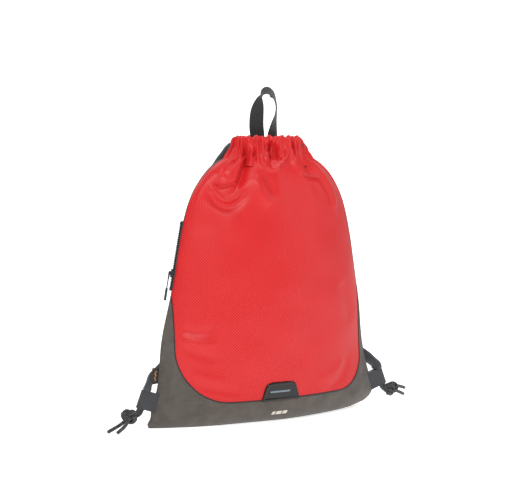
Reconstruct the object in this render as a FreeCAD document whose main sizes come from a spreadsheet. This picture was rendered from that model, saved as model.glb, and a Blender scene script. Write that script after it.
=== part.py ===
import FreeCAD, Part
import math
import os
import Sketcher

# Drawstring backpack of about ten litres: a gathered sack with a cinched neck, a hanging loop,
# a side pocket with a zip, a plastic light patch, and two cord shoulder straps that pass through
# webbing tabs at the bottom corners and end in knots.
# Frame: +Z up, front towards -Y, +X to the right seen from the front, origin under the middle
# of the base. Millimetres.

V = FreeCAD.Vector
X_AXIS, Y_AXIS, Z_AXIS = V(1, 0, 0), V(0, 1, 0), V(0, 0, 1)

os.makedirs("parts", exist_ok=True)
doc = FreeCAD.newDocument("drawstring_backpack")

# ---------------------------------------------------------------- driving dimensions
SIZES = {
    # sack
    "sack_height": 410, "base_width": 386, "front_bulge": 58, "back_bulge": 48,
    "fabric_wall": 3, "base_rise": 8,
    # colour seam on the front
    "seam_height": 38, "seam_margin": 35, "seam_corner": 50, "piping_width": 2,
    "piping_proud": 1.2,
    # neck channel and its cords
    "neck_half_width": 57, "neck_half_depth": 25, "channel_height": 22, "channel_skin": 2,
    "tunnel_play": 2, "cord_dia": 5.5, "cord_gap": 0.8, "exit_play": 0.5, "exit_inset": 12,
    "exit_reach": 7,
    # hanging loop
    "loop_web": 24, "loop_thick": 1.6, "loop_height": 74, "loop_spread": 13, "loop_sewn": 24,
    "loop_hinge_rise": 7, "loop_clear": 2, "loop_end_gap": 0.6, "loop_inset": 3.2,
    # corner tabs
    "tab_width": 28, "tab_reach": 24, "tab_web": 1.5, "tab_height": 39,
    "tab_tilt": 20, "tab_root": 6, "eye_play": 0.4,
    # straps, knots and tails
    "sleeve_wall": 1.8, "sleeve_play": 0.4, "strand_gap": 0.6, "strap_gap": 8,
    "knot_long": 13, "knot_wide": 11, "knot_tall": 10.5, "knot_drop": 6, "knot_out": 15.2,
    "knot_fall": 4.3, "strand_start": 0.5, "strand_clear": 1,
    # side pocket and zip
    "zip_low": 207, "zip_length": 104, "zip_turn": -15, "slider_rest": 20, "tape_width": 22,
    "tape_thick": 0.8, "teeth_core": 1.2,
    "teeth_width": 5, "teeth_thick": 2, "teeth_pitch": 3, "stop_length": 4,
    "slider_length": 12, "slider_width": 9, "slider_skin": 1.4, "slide_clearance": 0.35,
    "pull_length": 9, "pull_width": 5.5, "pull_thick": 2.2, "pull_over": 1.6, "fork_drop": 3.4,
    "lug_width": 2.4, "lug_reach": 2.9, "pin_stand": 2.1, "pull_pin": 0.9, "pin_play": 0.3,
    "pull_cord_dia": 1.8, "pull_cord_length": 14,
    "grip_length": 19, "grip_width": 5.6, "grip_thick": 3.6,
    "pocket_depth": 90, "pocket_thick": 2, "pocket_gap": 0.4,
    # light patch, printed mark and side label
    "patch_base": 58, "patch_top": 44, "patch_height": 29, "patch_proud": 3, "patch_round": 8,
    "bar_length": 31, "bar_width": 3, "bar_proud": 1.2, "mark_height": 15, "mark_dash": 7,
    "mark_gap": 2.6, "mark_rise": 3, "mark_proud": 0.4,
    "label_height": 25, "label_reach": 13, "label_thick": 1.4, "label_low": 67,
    "label_front": 6.8, "label_tuck": 11,
}

sheet = doc.addObject("Spreadsheet::Sheet", "sizes")
for row, (alias, value) in enumerate(SIZES.items(), start=1):
    sheet.set("A%d" % row, alias)
    sheet.set("B%d" % row, str(value))
    sheet.setAlias("B%d" % row, alias)
doc.recompute()

# Sizes that follow from what passes through: the cords set the tunnel, sleeve and tab.
TUNNEL = "(sizes.cord_dia + sizes.tunnel_play)"
SEAM_HALF = "(sizes.base_width / 2 - sizes.seam_margin)"
TAB_THICK = "(sizes.cord_dia + sizes.eye_play + 2 * sizes.tab_web)"


def size(alias):
    """Value of one driving dimension, read from the sheet."""
    return float(sheet.get(alias))


def bind(thing, **expressions):
    """Tie properties of an object to cells of the sheet."""
    for name, expression in expressions.items():
        thing.setExpression(name, expression)


sub_parts = []


def keep(thing, label):
    """Mark a document object as a sub-part and give it its name."""
    thing.Label = label
    sub_parts.append(thing)
    return thing


def feature(label, shape):
    """Sub-part whose shape is set by Part's own functions."""
    thing = doc.addObject("Part::Feature", label + "_shape")
    thing.Shape = shape
    return keep(thing, label)


# ---------------------------------------------------------------- bodies and sketches
def new_body(name):
    return doc.addObject("PartDesign::Body", name)


def plane(body, role):
    return next(f for f in body.Origin.OriginFeatures if f.Role == role)


def new_sketch(body, name, role, rise=None):
    """Sketch on one of the body's own planes, lifted by an expression if one is given."""
    sketch = body.newObject("Sketcher::SketchObject", name)
    sketch.AttachmentSupport = [(plane(body, role), "")]
    sketch.MapMode = "FlatFace"
    if rise:
        sketch.setExpression(".AttachmentOffset.Base.z", rise)
    return sketch


def named_distance(sketch, kind, arguments, expression, name):
    """Dimension in a sketch, bound to the sheet."""
    index = sketch.addConstraint(Sketcher.Constraint(kind, *arguments))
    sketch.renameConstraint(index, name)
    sketch.setExpression("Constraints." + name, expression)


def rectangle(sketch, width, height, low_x=None, low_y=None):
    """Rectangle of bound width and height; centred on an axis where no low edge is given."""
    first = sketch.GeometryCount
    corners = [V(-5, -5, 0), V(5, -5, 0), V(5, 5, 0), V(-5, 5, 0)]
    for i in range(4):
        sketch.addGeometry(Part.LineSegment(corners[i], corners[(i + 1) % 4]))
    for i in range(4):
        sketch.addConstraint(Sketcher.Constraint("Coincident", first + i, 2,
                                                 first + (i + 1) % 4, 1))
    for i, kind in enumerate(("Horizontal", "Vertical", "Horizontal", "Vertical")):
        sketch.addConstraint(Sketcher.Constraint(kind, first + i))
    tag = "_%d" % first
    named_distance(sketch, "DistanceX", (first, 1, first, 2, 10), width, "width" + tag)
    named_distance(sketch, "DistanceY", (first + 1, 1, first + 1, 2, 10), height,
                   "height" + tag)
    if low_x is None:
        named_distance(sketch, "DistanceX", (first, 1, -1, 1, 5), "(%s) / 2" % width,
                       "middle_x" + tag)
    else:
        named_distance(sketch, "DistanceX", (first, 1, -1, 1, 5), "-(%s)" % low_x,
                       "low_x" + tag)
    if low_y is None:
        named_distance(sketch, "DistanceY", (first, 1, -1, 1, 5), "(%s) / 2" % height,
                       "middle_y" + tag)
    else:
        named_distance(sketch, "DistanceY", (first, 1, -1, 1, 5), "-(%s)" % low_y,
                       "low_y" + tag)


def pad(body, name, sketch, length, both_ways=False, turned=False):
    feature_pad = body.newObject("PartDesign::Pad", name)
    feature_pad.Profile = sketch
    feature_pad.Midplane = both_ways
    feature_pad.Reversed = turned
    feature_pad.setExpression("Length", length)
    return feature_pad


# ---------------------------------------------------------------- the sack's form
# Stations up the sack: share of its height, of its base half-width, of each bulge.
STATIONS = [
    (0.000, 0.920, 0.52, 0.58), (0.026, 0.995, 0.78, 0.80), (0.110, 0.962, 0.90, 0.92),
    (0.290, 0.892, 0.99, 1.00), (0.510, 0.812, 1.00, 1.00), (0.751, 0.722, 0.88, 0.90),
    (0.873, 0.630, 0.76, 0.78), (0.934, 0.535, 0.65, 0.69), (0.971, 0.440, 0.54, 0.60),
]


def lens_sketch(body, name, rise, half, front, back):
    """Two arcs that meet in a crease at each side: the front bulge and the back bulge."""
    sketch = new_sketch(body, name, "XY_Plane", rise)
    sketch.addGeometry(Part.Arc(V(-50, 0, 0), V(0, -20, 0), V(50, 0, 0)))
    sketch.addGeometry(Part.Arc(V(50, 0, 0), V(0, 18, 0), V(-50, 0, 0)))
    add = sketch.addConstraint
    add(Sketcher.Constraint("Coincident", 0, 2, 1, 1))
    add(Sketcher.Constraint("Coincident", 1, 2, 0, 1))
    add(Sketcher.Constraint("Symmetric", 0, 1, 0, 2, -2))
    add(Sketcher.Constraint("PointOnObject", 0, 1, -1))
    named_distance(sketch, "DistanceX", (0, 1, 0, 2, 100), "2 * (%s)" % half, "width")
    for arc, bulge in ((0, front), (1, back)):
        radius = "((%s)^2 + (%s)^2) / (2 * (%s))" % (half, bulge, bulge)
        named_distance(sketch, "Radius", (arc, 72), radius, "radius%d" % arc)
    return sketch


def sack_form(name, proud):
    """Loft of the sack's sections, standing proud of the fabric by a bound amount."""
    body = new_body(name)
    sections = []
    for i, (rise, half, front, back) in enumerate(STATIONS):
        sections.append(lens_sketch(
            body, "%s_section%d" % (name, i), "sizes.sack_height * %g" % rise,
            "sizes.base_width / 2 * %g + (%s)" % (half, proud),
            "sizes.front_bulge * %g + (%s)" % (front, proud),
            "sizes.back_bulge * %g + (%s)" % (back, proud)))
    sections.append(lens_sketch(
        body, "%s_top" % name, "sizes.sack_height",
        "sizes.neck_half_width + (%s)" % proud, "sizes.neck_half_depth - 1 + (%s)" % proud,
        "sizes.neck_half_depth - 1 + (%s)" % proud))
    loft = body.newObject("PartDesign::AdditiveLoft", name + "_loft")
    loft.Profile = sections[0]
    loft.Sections = sections[1:]
    return body


outer_form = sack_form("outer_form", "0")
inner_form = sack_form("inner_form", "-sizes.fabric_wall")
doc.recompute()


def box(name, low, high):
    """Box between two corners, each given as three expressions."""
    thing = doc.addObject("Part::Box", name)
    for dim, a, b in zip(("Length", "Width", "Height"), low, high):
        thing.setExpression(dim, "(%s) - (%s)" % (b, a))
    for axis, a in zip("xyz", low):
        thing.setExpression(".Placement.Base." + axis, a)
    return thing


def boolean(kind, name, base, tool):
    thing = doc.addObject("Part::" + kind, name)
    thing.Base = base
    thing.Tool = tool
    return thing


cavity = boolean("Common", "cavity", inner_form, box(
    "cavity_room", ("-400", "-200", "sizes.fabric_wall"), ("400", "200", "900")))
shell = boolean("Cut", "sack_shell", outer_form, cavity)
front_room = box("front_room", ("-400", "-200", "-10"), ("400", "0", "900"))
back_room = box("back_room", ("-400", "0", "sizes.base_rise"), ("400", "200", "900"))
base_room = box("base_room", ("-400", "0", "-10"), ("400", "200", "sizes.base_rise"))
front_shell = boolean("Common", "front_shell", shell, front_room)
keep(boolean("Common", "back_panel_cut", shell, back_room), "back_panel")


def seam_outline(name, growth):
    """Prism of the red panel's outline: upright sides and a round corner at each foot."""
    body = new_body(name)
    sketch = new_sketch(body, name + "_outline", "XZ_Plane")
    rectangle(sketch, "2 * (%s + %s)" % (SEAM_HALF, growth), "700",
              low_y="sizes.seam_height - (%s)" % growth)
    prism = pad(body, name + "_pad", sketch, "300")
    doc.recompute()
    feet = []
    for i, edge in enumerate(prism.Shape.Edges, start=1):
        ends = [vertex.Point for vertex in edge.Vertexes]
        along_y = abs(ends[0].y - ends[1].y) > 100
        if along_y and max(end.z for end in ends) < 200:
            feet.append("Edge%d" % i)
    rounded = body.newObject("PartDesign::Fillet", name + "_feet")
    rounded.Base = (prism, feet)
    rounded.setExpression("Radius", "sizes.seam_corner + (%s)" % growth)
    return body


seam_prism = seam_outline("seam_prism", "0")
piping_prism = seam_outline("piping_prism", "sizes.piping_width")
keep(boolean("Common", "front_panel_cut", front_shell, seam_prism), "front_panel")
lower_cut = boolean("Cut", "lower_front", front_shell, piping_prism)
lower_back = boolean("Common", "lower_back", shell, base_room)
keep(boolean("Fuse", "lower_panel_join", lower_cut, lower_back), "lower_panel")

piping_ring = boolean("Cut", "piping_ring", piping_prism, seam_prism)
piping_form = sack_form("piping_form", "sizes.piping_proud")
piping_shell = boolean("Cut", "piping_shell", piping_form, cavity)
piping_front = boolean("Common", "piping_front", piping_shell, front_room)
piping_strip = boolean("Common", "piping_strip", piping_ring, piping_front)
doc.recompute()


def meet(name, low, high):
    """Ends of the line between two points that lie inside the sack's form."""
    common = outer_form.Shape.common(Part.makeLine(low, high))
    if not common.Edges:
        raise ValueError("no sack at " + name)
    return common.BoundBox


def half_width_at(z):
    return meet("height %.1f" % z, V(0, -0.01, z), V(400, -0.01, z)).XMax


def front_at(x, z):
    return meet("front %.1f %.1f" % (x, z), V(x, -200, z), V(x, 0, z)).YMin


def back_at(x, z):
    reach = min(abs(x), half_width_at(z) - 0.5)
    return meet("back %.1f %.1f" % (x, z), V(reach, 0, z), V(reach, 200, z)).YMax


# ---------------------------------------------------------------- neck channel and drawcords
def ellipse_prism(name, inset, low, high):
    """Upright prism on the neck's ellipse, drawn in by an expression."""
    curve = doc.addObject("Part::Ellipse", name + "_curve")
    bind(curve, MajorRadius="sizes.neck_half_width - (%s)" % inset,
         MinorRadius="sizes.neck_half_depth - (%s)" % inset)
    curve.setExpression(".Placement.Base.z", low)
    prism = doc.addObject("Part::Extrusion", name)
    prism.Base = curve
    prism.DirMode = "Custom"
    prism.Dir = Z_AXIS
    prism.Solid = True
    prism.setExpression("LengthFwd", "(%s) - (%s)" % (high, low))
    return prism


NECK_LOW = "sizes.sack_height"
NECK_HIGH = "sizes.sack_height + sizes.channel_height"
TUNNEL_LOW = NECK_LOW + " + sizes.channel_skin"
TUNNEL_HIGH = NECK_HIGH + " - sizes.channel_skin"
CHANNEL_WALL = "2 * sizes.channel_skin + " + TUNNEL
ring = boolean("Cut", "channel_ring", ellipse_prism("channel_outer", "0", NECK_LOW, NECK_HIGH),
               ellipse_prism("channel_mouth", CHANNEL_WALL, NECK_LOW, NECK_HIGH))
tunnel = boolean("Cut", "channel_tunnel_ring",
                 ellipse_prism("tunnel_outer", "sizes.channel_skin", TUNNEL_LOW, TUNNEL_HIGH),
                 ellipse_prism("tunnel_inner", "sizes.channel_skin + " + TUNNEL,
                               TUNNEL_LOW, TUNNEL_HIGH))
hollow_ring = boolean("Cut", "channel_hollow", ring, tunnel)

cord_radius = size("cord_dia") / 2
neck_low = size("sack_height")
neck_middle = neck_low + size("channel_height") / 2
cord_pitch = (size("cord_dia") + size("cord_gap")) / 2
tunnel_width = size("cord_dia") + size("tunnel_play")
ring_inset = size("channel_skin") + tunnel_width / 2
ring_long = size("neck_half_width") - ring_inset
ring_short = size("neck_half_depth") - ring_inset
exit_x = size("neck_half_width") + size("exit_reach")

# Where a cord leaves its ring on a straight tangent line to the neck's lip, and how wide
# that line runs where the slot for it begins.
lip_y = size("cord_gap") / 2 + cord_radius
touch = (math.atan2(lip_y / ring_short, exit_x / ring_long)
         + math.acos(1 / math.hypot(exit_x / ring_long, lip_y / ring_short)))
leave, flare = ring_long * math.cos(touch), ring_short * math.sin(touch)
slot_start = size("neck_half_width") - size("exit_inset")
leg_turn = math.atan2(flare - lip_y, exit_x - leave)
leg_y = flare - (slot_start - leave) * math.tan(leg_turn)
slot_half = "%.3f + sizes.exit_play" % (leg_y + cord_radius / math.cos(leg_turn))
exit_slots = doc.addObject("Part::Cut", "channel_exits")
exit_bar = box("exit_bar", ("-300", "-(%s)" % slot_half, TUNNEL_LOW),
               ("300", slot_half, TUNNEL_HIGH))
exit_core = box("exit_core", ("sizes.exit_inset - sizes.neck_half_width", "-100", TUNNEL_LOW),
                ("sizes.neck_half_width - sizes.exit_inset", "100", TUNNEL_HIGH))
exit_slots.Base, exit_slots.Tool = exit_bar, exit_core
keep(boolean("Cut", "channel_cut", hollow_ring, exit_slots), "neck_channel")


def swept(profile_radius, path):
    """Round tube along a path of edges."""
    start = path.Edges[0]
    point = start.valueAt(start.FirstParameter)
    along = start.tangentAt(start.FirstParameter)
    circle = Part.Wire(Part.Circle(point, along, profile_radius).toShape())
    return path.makePipeShell([circle], True, False)


def rounded_path(label, points):
    """Straight runs joined by tangent arcs, each as large as its two runs allow."""
    edges, radii, start = [], [], points[0]
    for before, corner, after in zip(points, points[1:], points[2:]):
        to_corner, from_corner = corner - before, after - corner
        half_turn = to_corner.getAngle(from_corner) / 2
        trim = 0.45 * min(to_corner.Length, from_corner.Length)
        radius = trim / math.tan(half_turn)
        arc_start = corner - V(to_corner).normalize() * trim
        arc_end = corner + V(from_corner).normalize() * trim
        inward = V((arc_start + arc_end) * 0.5 - corner).normalize()
        middle = corner + inward * (radius / math.cos(half_turn) - radius)
        edges.append(Part.LineSegment(start, arc_start).toShape())
        edges.append(Part.Arc(arc_start, middle, arc_end).toShape())
        radii.append(radius)
        start = arc_end
    edges.append(Part.LineSegment(start, points[-1]).toShape())
    path = Part.Wire(edges)
    print("%s: length %.0f, bend radii %s"
          % (label, path.Length, " ".join("%.0f" % radius for radius in radii)))
    return path


def tube(label, path, radius):
    """Cord along a path, compared with its section times its length."""
    shape = swept(radius, path)
    expected = math.pi * radius ** 2 * path.Length
    if abs(shape.Volume - expected) > 0.03 * expected:
        raise ValueError("%s: volume %.0f, expected %.0f" % (label, shape.Volume, expected))
    return shape


SIDES = (("left", -1), ("right", 1))
for name, side in SIDES:
    level = neck_middle + side * cord_pitch
    ellipse = Part.Ellipse(V(0, 0, level), ring_long, ring_short)
    arc = Part.ArcOfEllipse(ellipse, touch, 2 * math.pi - touch).toShape()
    lips = [V(exit_x, y, level) for y in (lip_y, -lip_y)]
    touches = [V(leave, y, level) for y in (flare, -flare)]
    cord = swept(cord_radius, Part.Wire([Part.makeLine(lips[0], touches[0]), arc,
                                         Part.makeLine(touches[1], lips[1])]))
    if side < 0:
        cord = cord.mirror(V(0, 0, 0), X_AXIS)
    feature(name + "_drawcord", cord)


# ---------------------------------------------------------------- hanging loop
channel_wall = 2 * size("channel_skin") + tunnel_width
LOOP_Y = size("neck_half_depth") - channel_wall - size("loop_inset")
loop_base = neck_low + size("channel_height") + size("loop_hinge_rise")
# Points round the loop: share of the spread, share of the height, spin of the webbing.
LOOP_SHAPE = [(-1.0, 0.00, 0), (-1.12, 0.22, 2), (-1.02, 0.48, 8), (-0.55, 0.76, 32),
              (0.30, 0.985, 60), (1.15, 0.76, 66), (1.20, 0.48, 66), (0.95, 0.22, 50),
              (0.80, 0.00, 30)]


def webbing(points):
    """Flat webbing lofted through rectangles; each point is across, height and spin."""
    wires = []
    centres = [V(across, LOOP_Y, height) for across, height, _ in points]
    last = len(centres) - 1
    for i, (centre, (_, _, spin)) in enumerate(zip(centres, points)):
        along = Z_AXIS if i == 0 else Z_AXIS * -1
        if 0 < i < last:
            along = V(centres[i + 1] - centres[i - 1]).normalize()
        wide = V(math.cos(math.radians(spin)), math.sin(math.radians(spin)), 0)
        wide = V(wide - along * wide.dot(along)).normalize()
        thick = along.cross(wide) * (size("loop_thick") / 2)
        reach = wide * (size("loop_web") / 2)
        corners = [centre + reach + thick, centre - reach + thick,
                   centre - reach - thick, centre + reach - thick]
        wires.append(Part.makePolygon(corners + corners[:1]))
    return Part.makeLoft(wires, True, False)


spread, clear = size("loop_spread"), size("loop_clear")
turns = [(across * spread, loop_base + clear + share * (size("loop_height") - clear), spin)
         for across, share, spin in LOOP_SHAPE]
feature("carry_loop", webbing(turns))
sewn_ends = []
for across, _, _ in (LOOP_SHAPE[0], LOOP_SHAPE[-1]):
    corner = V(across * spread - size("loop_web") / 2, LOOP_Y - size("loop_thick") / 2,
               neck_low + size("channel_height") - size("loop_sewn"))
    reach = loop_base - size("loop_end_gap") - corner.z
    sewn_ends.append(Part.makeBox(size("loop_web"), size("loop_thick"), reach, corner))
feature("carry_loop_ends", sewn_ends[0].fuse(sewn_ends[1:]))


# ---------------------------------------------------------------- corner tabs
tab_z = size("tab_height")
tab_x = half_width_at(tab_z)
tilt = math.radians(size("tab_tilt"))
tab_out = V(math.cos(tilt), 0, math.sin(tilt))
tab_up = V(-math.sin(tilt), 0, math.cos(tilt))
tab_origin = V(tab_x, 0, tab_z)
slot_low = size("tab_reach") - size("tab_web") - 2 * size("cord_dia") - 4 * size("eye_play")
eye_inner = slot_low + size("eye_play") + cord_radius
eye_outer = eye_inner + size("cord_dia") + size("eye_play")
eye_middle = (eye_inner + eye_outer) / 2


def place(side, point):
    return V(side * point.x, point.y, point.z)


def tab_body(name, side):
    """Webbing folded round a slot for two cords, its root running into the side seam."""
    body = new_body(name + "_tab_body")
    sketch = new_sketch(body, name + "_tab_fold", "XY_Plane")
    rectangle(sketch, "sizes.tab_reach + sizes.tab_root", TAB_THICK,
              low_x="-sizes.tab_root")
    fold = pad(body, name + "_tab_pad", sketch, "sizes.tab_width", both_ways=True)
    doc.recompute()
    outer = ["Edge%d" % i for i, edge in enumerate(fold.Shape.Edges, start=1)
             if edge.BoundBox.XMin > size("tab_reach") - 0.1
             and edge.BoundBox.ZLength > size("tab_width") - 0.1]
    bend = body.newObject("PartDesign::Fillet", name + "_tab_bend")
    bend.Base = (fold, outer)
    bend.setExpression("Radius", TAB_THICK + " / 2 - 0.05")
    slot_sketch = new_sketch(body, name + "_tab_eye", "XY_Plane")
    slot_length = "2 * sizes.cord_dia + 4 * sizes.eye_play"
    rectangle(slot_sketch, slot_length, TAB_THICK + " - 2 * sizes.tab_web",
              low_x="sizes.tab_reach - sizes.tab_web - (%s)" % slot_length)
    eye = body.newObject("PartDesign::Pocket", name + "_tab_slot")
    eye.Profile = slot_sketch
    eye.Midplane = True
    eye.setExpression("Length", "sizes.tab_width + 2")
    turn = FreeCAD.Rotation(Y_AXIS, -side * size("tab_tilt"))
    if side < 0:
        turn = turn.multiply(FreeCAD.Rotation(Z_AXIS, 180))
    body.Placement = FreeCAD.Placement(place(side, tab_origin), turn)
    return body


for name, side in SIDES:
    webbing_fold = tab_body(name, side)
    keep(boolean("Cut", name + "_tab_trim", webbing_fold, outer_form), name + "_tab")

# ---------------------------------------------------------------- shoulder straps
tab_mouth = tab_origin + tab_out * eye_middle + tab_up * (size("tab_width") / 2)
tab_foot = tab_mouth - tab_up * size("tab_width")
neck_lip = V(exit_x, 0, neck_middle)
# Points down a strap: share of the drop and of the way out, and how far it stands off the back.
STRAP_ROUTE = [(0.030, 0.045, 12), (0.080, 0.105, 13), (0.160, 0.165, 12), (0.270, 0.215, 12),
               (0.390, 0.250, 12), (0.510, 0.275, 12), (0.630, 0.310, 12), (0.740, 0.370, 12),
               (0.830, 0.480, 12), (0.895, 0.640, 13), (0.938, 0.810, 14), (0.972, 0.930, 11)]


def strap_points(start, end):
    points = [start]
    for drop, out, stand_off in STRAP_ROUTE:
        x = start.x + out * (end.x - start.x)
        z = start.z + drop * (end.z - start.z)
        back = back_at(x, z) if z < neck_low - 1 else 0
        points.append(V(x, back + stand_off, z))
    return points + [end]


strand_offset = cord_radius + size("strand_gap") / 2
sleeve_bore = 2 * size("cord_dia") + size("strand_gap") + 2 * size("sleeve_play")
sleeve_dia = sleeve_bore + 2 * size("sleeve_wall")
gap = size("strap_gap")
strap_top = neck_lip + V(gap, 0, 0)
strap_end = tab_mouth + tab_up * gap
for name, side in SIDES:
    points = [place(side, point) for point in strap_points(strap_top, strap_end)]
    path = rounded_path(name + "_strap", points)
    sleeve_outer = swept(sleeve_dia / 2, path)
    sleeve_inner = swept(sleeve_bore / 2, path)
    feature(name + "_strap_sleeve", sleeve_outer.cut(sleeve_inner))
    first = path.Edges[0]
    start = first.valueAt(first.FirstParameter)
    along = first.tangentAt(first.FirstParameter)
    across = V(along.cross(Z_AXIS)).normalize() * strand_offset
    for strand, offset in (("a", across), ("b", across * -1)):
        circle = Part.Wire(Part.Circle(start + offset, along, cord_radius).toShape())
        feature("%s_strap_cord_%s" % (name, strand),
                path.makePipeShell([circle], True, False))


# ---------------------------------------------------------------- knots and cord tails
knot_pivot = tab_foot - tab_up * size("knot_drop")
knot_middle = knot_pivot + V(size("knot_out"), 0, -size("knot_fall"))
TAILS = {
    "left_tail_a": [(8, -2, -6), (18, -4, -12), (34, -6, -18)],
    "left_tail_b": [(6, -8, -7.5), (13.5, -13, -13.3), (22.5, -16, -17.8)],
    "right_tail_a": [(12, 5, 1.5), (24, 12, -0.5), (38, 20, -6.5)],
    "right_tail_b": [(11, 3, -5), (21, 7, -9.5), (31, 12, -14.5)],
}

for name, side in SIDES:
    strands = []
    for reach in (eye_inner, eye_outer):
        upper = tab_origin + tab_out * reach + tab_up * (size("tab_width") / 2
                                                         + size("strand_start"))
        drop = size("tab_width") + size("knot_drop") - size("strand_start") - size("strand_clear")
        lower = upper - tab_up * drop
        strands.append(Part.makeCylinder(cord_radius, (lower - upper).Length,
                                         place(side, upper), place(side, lower - upper)))
    feature(name + "_tab_cords", Part.makeCompound(strands))

    knot = doc.addObject("Part::Ellipsoid", name + "_knot_ball")
    bind(knot, Radius1="sizes.knot_tall", Radius2="sizes.knot_long", Radius3="sizes.knot_wide")
    knot.Placement = FreeCAD.Placement(place(side, knot_middle), FreeCAD.Rotation())
    keep(knot, name + "_knot")
    doc.recompute()
    for tail in ("a", "b"):
        label = "%s_tail_%s" % (name, tail)
        points = [place(side, knot_middle)]
        points += [place(side, knot_middle + V(*offset)) for offset in TAILS[label]]
        whole = tube(label, rounded_path(label, points), cord_radius)
        feature(label, whole.cut(knot.Shape))

# ---------------------------------------------------------------- side pocket with its zip
zip_foot = V(-half_width_at(size("zip_low")), 0, size("zip_low"))
zip_head_z = size("zip_low") + size("zip_length")
zip_head = V(-half_width_at(zip_head_z), 0, zip_head_z)
zip_up = V(zip_head - zip_foot).normalize()
turn = math.radians(size("zip_turn"))
zip_out = V(-math.cos(turn), -math.sin(turn), 0)
zip_out = V(zip_out - zip_up * zip_out.dot(zip_up)).normalize()
zip_across = zip_up.cross(zip_out)
bow = 0
for share in (0.25, 0.5, 0.75):
    chord_point = zip_foot + (zip_head - zip_foot) * share
    bow = max(bow, half_width_at(chord_point.z) + chord_point.x)
zip_origin = zip_foot + zip_out * (bow + size("slide_clearance") + size("tape_thick"))
zip_turned = FreeCAD.Rotation(zip_across, zip_out * -1, zip_up, "ZYX")
zip_frame = FreeCAD.Placement(zip_origin, zip_turned)
# In the zip's own frame X runs across the tape, -Y outwards and Z up the zip.
# The tape's outer face lies on its XZ plane.


def zip_box(name, low, high):
    """Box in the zip's frame between two corners of three expressions each."""
    thing = doc.addObject("Part::Box", name)
    for dim, a, b in zip(("Length", "Width", "Height"), low, high):
        thing.setExpression(dim, "(%s) - (%s)" % (b, a))
    doc.recompute()
    probe = doc.addObject("Part::Vertex", name + "_corner")
    for axis, a in zip("XYZ", low):
        probe.setExpression(axis, a)
    doc.recompute()
    corner = V(probe.X.Value, probe.Y.Value, probe.Z.Value)
    thing.Placement = FreeCAD.Placement(zip_frame.multVec(corner), zip_turned)
    return thing


keep(zip_box("zip_tape_strip", ("-sizes.tape_width / 2", "0", "0"),
             ("sizes.tape_width / 2", "sizes.tape_thick", "sizes.zip_length")), "zip_tape")

teeth = new_body("zip_teeth_body")
core_sketch = new_sketch(teeth, "zip_core", "XY_Plane", "sizes.stop_length")
rectangle(core_sketch, "sizes.teeth_core", "sizes.teeth_thick / 2",
          low_y="-sizes.teeth_thick / 2")
pad(teeth, "zip_core_pad", core_sketch, "sizes.zip_length - 2 * sizes.stop_length")
tooth_sketch = new_sketch(teeth, "zip_tooth", "XY_Plane", "sizes.stop_length + 0.2")
rectangle(tooth_sketch, "sizes.teeth_width", "sizes.teeth_thick", low_y="-sizes.teeth_thick")
tooth = pad(teeth, "zip_tooth_pad", tooth_sketch, "sizes.teeth_pitch * 0.6")
doc.recompute()
row = teeth.newObject("PartDesign::LinearPattern", "zip_tooth_row")
row.Originals = [tooth]
row.Direction = (tooth_sketch, ["N_Axis"])
row_length = size("zip_length") - 2 * size("stop_length") - size("teeth_pitch")
row.Occurrences = int(row_length / size("teeth_pitch")) + 1
row.Length = (row.Occurrences - 1) * size("teeth_pitch")
teeth.Tip = row
teeth.Placement = zip_frame
keep(teeth, "zip_teeth")

for label, low, high in (("zip_bottom_stop", "0", "sizes.stop_length"),
                         ("zip_top_stop", "sizes.zip_length - sizes.stop_length",
                          "sizes.zip_length")):
    keep(zip_box(label + "_block", ("-sizes.teeth_width / 2", "-sizes.teeth_thick", low),
                 ("sizes.teeth_width / 2", "0", high)), label)

SLIDER_FACE = "-(sizes.teeth_thick + sizes.slide_clearance + sizes.slider_skin)"
SLIDER_TOP = "sizes.slider_rest + sizes.slider_length"
cap = zip_box("slider_cap", ("-sizes.slider_width / 2", SLIDER_FACE, "sizes.slider_rest"),
              ("sizes.slider_width / 2", "-sizes.slide_clearance", SLIDER_TOP))
groove = zip_box("slider_groove", ("-sizes.teeth_width / 2 - sizes.slide_clearance",
                                   "-(sizes.teeth_thick + sizes.slide_clearance)",
                                   "sizes.slider_rest - 1"),
                 ("sizes.teeth_width / 2 + sizes.slide_clearance", "0", SLIDER_TOP + " + 1"))
PIVOT_Z = "sizes.slider_rest + sizes.slider_length / 2"
lug = zip_box("slider_lug", ("-sizes.lug_width / 2", SLIDER_FACE + " - sizes.lug_reach",
                             PIVOT_Z + " - sizes.lug_reach"),
              ("sizes.lug_width / 2", SLIDER_FACE, PIVOT_Z + " + sizes.lug_reach"))
slider_face = size("teeth_thick") + size("slide_clearance") + size("slider_skin")
pivot = V(0, -slider_face - size("pin_stand"), size("slider_rest") + size("slider_length") / 2)
pull_pivot = zip_frame.multVec(pivot)


def cross_pin(name, diameter, length):
    """Cylinder along the pull's hinge."""
    pin = doc.addObject("Part::Cylinder", name)
    bind(pin, Radius="(%s) / 2" % diameter, Height=length)
    doc.recompute()
    start = zip_frame.multVec(pivot - X_AXIS * (pin.Height.Value / 2))
    pin.Placement = FreeCAD.Placement(start, FreeCAD.Rotation(Z_AXIS, zip_across))
    return pin


slider_cut = boolean("Cut", "slider_cut", cap, groove)
slider_lugged = boolean("Fuse", "slider_lugged", slider_cut, lug)
keep(boolean("Fuse", "slider_whole", slider_lugged,
             cross_pin("pull_pin", "sizes.pull_pin", "sizes.pull_width - 0.4")), "zip_slider")

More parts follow.
